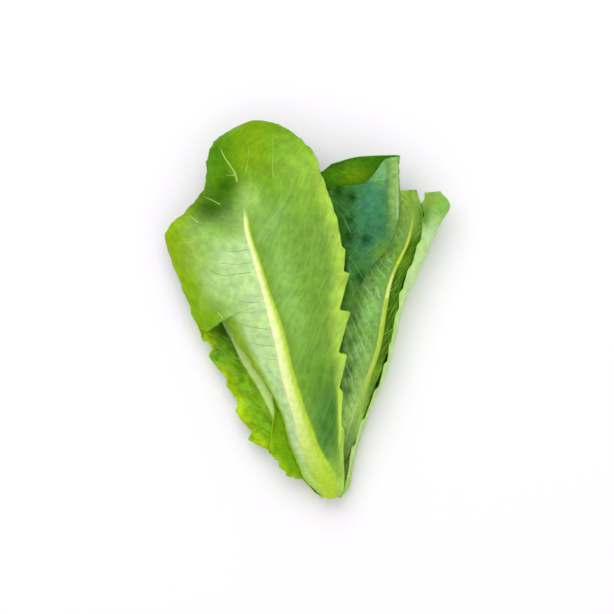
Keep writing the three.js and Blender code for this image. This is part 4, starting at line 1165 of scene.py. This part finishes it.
def make_leaf(name, form, habit):
    """A leaf's closed solid with its relief and its looks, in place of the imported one."""
    cells = leaf_cells(form)
    point, normal = cells["point"], outer_normals(cells["point"], form["outer"])
    outside = point + normal * (cells["blade"] / 2 + cells["ridge"])[..., None]
    inside = point - normal * (cells["blade"] / 2)[..., None]
    faces = leaf_faces(*point.shape[:2])
    if form["outer"] < 0:
        faces = faces[:, ::-1]
    piece = new_piece(name + "_fine", both(outside, inside), faces)

    outer_face, inner_face = (paint_face(cells, face) for face in PAINT.get(name, (OUTSIDE, YOUNG)))
    place = np.stack([cells["across"], cells["along"], 0 * cells["v"]], axis=2)
    flag = np.ones(point.shape[:2])
    outer_face.update(place=place, lift=normal, outer=flag)
    inner_face.update(place=place, lift=normal, outer=0 * flag)
    for key in outer_face:
        store(piece.data, key, both(outer_face[key], inner_face[key]))
    add_relief(piece, habit)
    settle_on_floor(piece)
    piece.data.materials.clear()
    piece.data.materials.append(leaf_material(name, habit))
    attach(piece, "root")
    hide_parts(name)


def settle_on_floor(piece):
    """Keeps every vertex on or above the resting plane."""
    place = np.empty(len(piece.data.vertices) * 3, np.float32)
    piece.data.vertices.foreach_get("co", place)
    place[2::3] = np.maximum(place[2::3], 0.0)
    piece.data.vertices.foreach_set("co", place)
    piece.data.update()


def make_stem():
    """The stem's stub: a ringed cut, sunken in the middle, on a body with shallow flutes."""
    cut, reach, length = STEM["cut_radius"], STEM["radius"], STEM["length"]
    knots = [(0.0, 0.35), (cut * 0.55, 0.25), (cut * 0.92, 0.05), (cut, 0.15)]
    knots += [(reach * 0.85, length * 0.25), (reach * 0.99, length * 0.55), (reach * 0.8, length * 0.82)]
    knots += [(reach * 0.4, length * 0.96), (0.0, length * 0.99)]
    profile = rail_at(knots, np.linspace(0.0, 1.0, STEM_ROWS))
    radius, depth = np.maximum(profile[:, 0], 0.0), profile[:, 1]
    turn = np.linspace(0, 2 * math.pi, STEM_SIDES, endpoint=False)
    on_cut = ramp(depth, 0.6, 0.3)[:, None]
    flute = 1 - 0.03 * (1 - on_cut) * (0.5 + 0.5 * np.cos(turn * STEM_FLUTES))
    ring = 0.06 * on_cut * np.sin(radius * 2 * math.pi / STEM_RING)[:, None]
    x = STEM["x"] + radius[:, None] * flute * np.cos(turn)
    z = STEM["z"] + radius[:, None] * flute * np.sin(turn)
    y = STEM["cut_y"] + depth[:, None] + ring * on_cut + 0 * turn
    point = np.stack([x, np.maximum(y, STEM["cut_y"]), z], axis=2).reshape(-1, 3)

    first = np.arange(STEM_ROWS * STEM_SIDES).reshape(STEM_ROWS, STEM_SIDES)
    second = np.roll(first, -1, axis=1)
    faces = np.stack([first[:-1], second[:-1], second[1:], first[1:]], axis=2).reshape(-1, 4)
    piece = new_piece("stem_butt_fine", point, faces)
    store(piece.data, "cut", (on_cut + 0 * turn).ravel())
    store(piece.data, "from_axis", np.hypot(point[:, 0] - STEM["x"], point[:, 2] - STEM["z"]))
    piece.data.materials.append(stem_material())
    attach(piece, "root")
    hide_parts("stem_butt")


for name, form in LEAVES.items():
    make_leaf(name, form, {**HABIT, **HABITS.get(name, {})})
make_stem()


# ---------- Stage ----------


def make_floor():
    half = 3.0
    mesh = bpy.data.meshes.new("floor")
    corners = [(-half, -half, 0), (half, -half, 0), (half, half, 0), (-half, half, 0)]
    mesh.from_pydata(corners, [], [(0, 1, 2, 3)])
    floor = add_object("floor", mesh)
    floor.location.z = -0.2 * MM
    material = bpy.data.materials.new("floor")
    material.use_nodes = True
    shader = material.node_tree.nodes["Principled BSDF"]
    shader.inputs["Base Color"].default_value = (0.95, 0.92, 0.97, 1.0)
    shader.inputs["Roughness"].default_value = 0.9
    shader.inputs["Specular IOR Level"].default_value = 0.0
    mesh.materials.append(material)


def make_light():
    """A white sky, and one broad lamp above the picture's upper left."""
    world = bpy.data.worlds.new("studio")
    world.use_nodes = True
    background = world.node_tree.nodes["Background"]
    background.inputs["Color"].default_value = (1.0, 1.0, 1.0, 1.0)
    background.inputs["Strength"].default_value = 0.82
    bpy.context.scene.world = world
    light = bpy.data.lights.new("key", "AREA")
    light.shape = "DISK"
    light.size = 1.8
    light.energy = 15.0
    lamp = add_object("key", light)
    lamp.location = (-0.3, 0.95, 1.55)
    lamp.rotation_euler = (-lamp.location).to_track_quat("-Z", "Y").to_euler()
    bpy.context.scene.view_settings.view_transform = "Standard"


def make_camera():
    data = bpy.data.cameras.new("camera")
    data.sensor_width = SENSOR
    data.lens = SENSOR * (CAMERA_HEIGHT - FOCUS_HEIGHT) / (PHOTO_FRAME * PIXEL)
    camera = add_object("camera", data)
    camera.location = (FRAME_CENTRE[0] * MM, FRAME_CENTRE[1] * MM, CAMERA_HEIGHT * MM)
    bpy.context.scene.camera = camera


make_floor()
make_light()
make_camera()
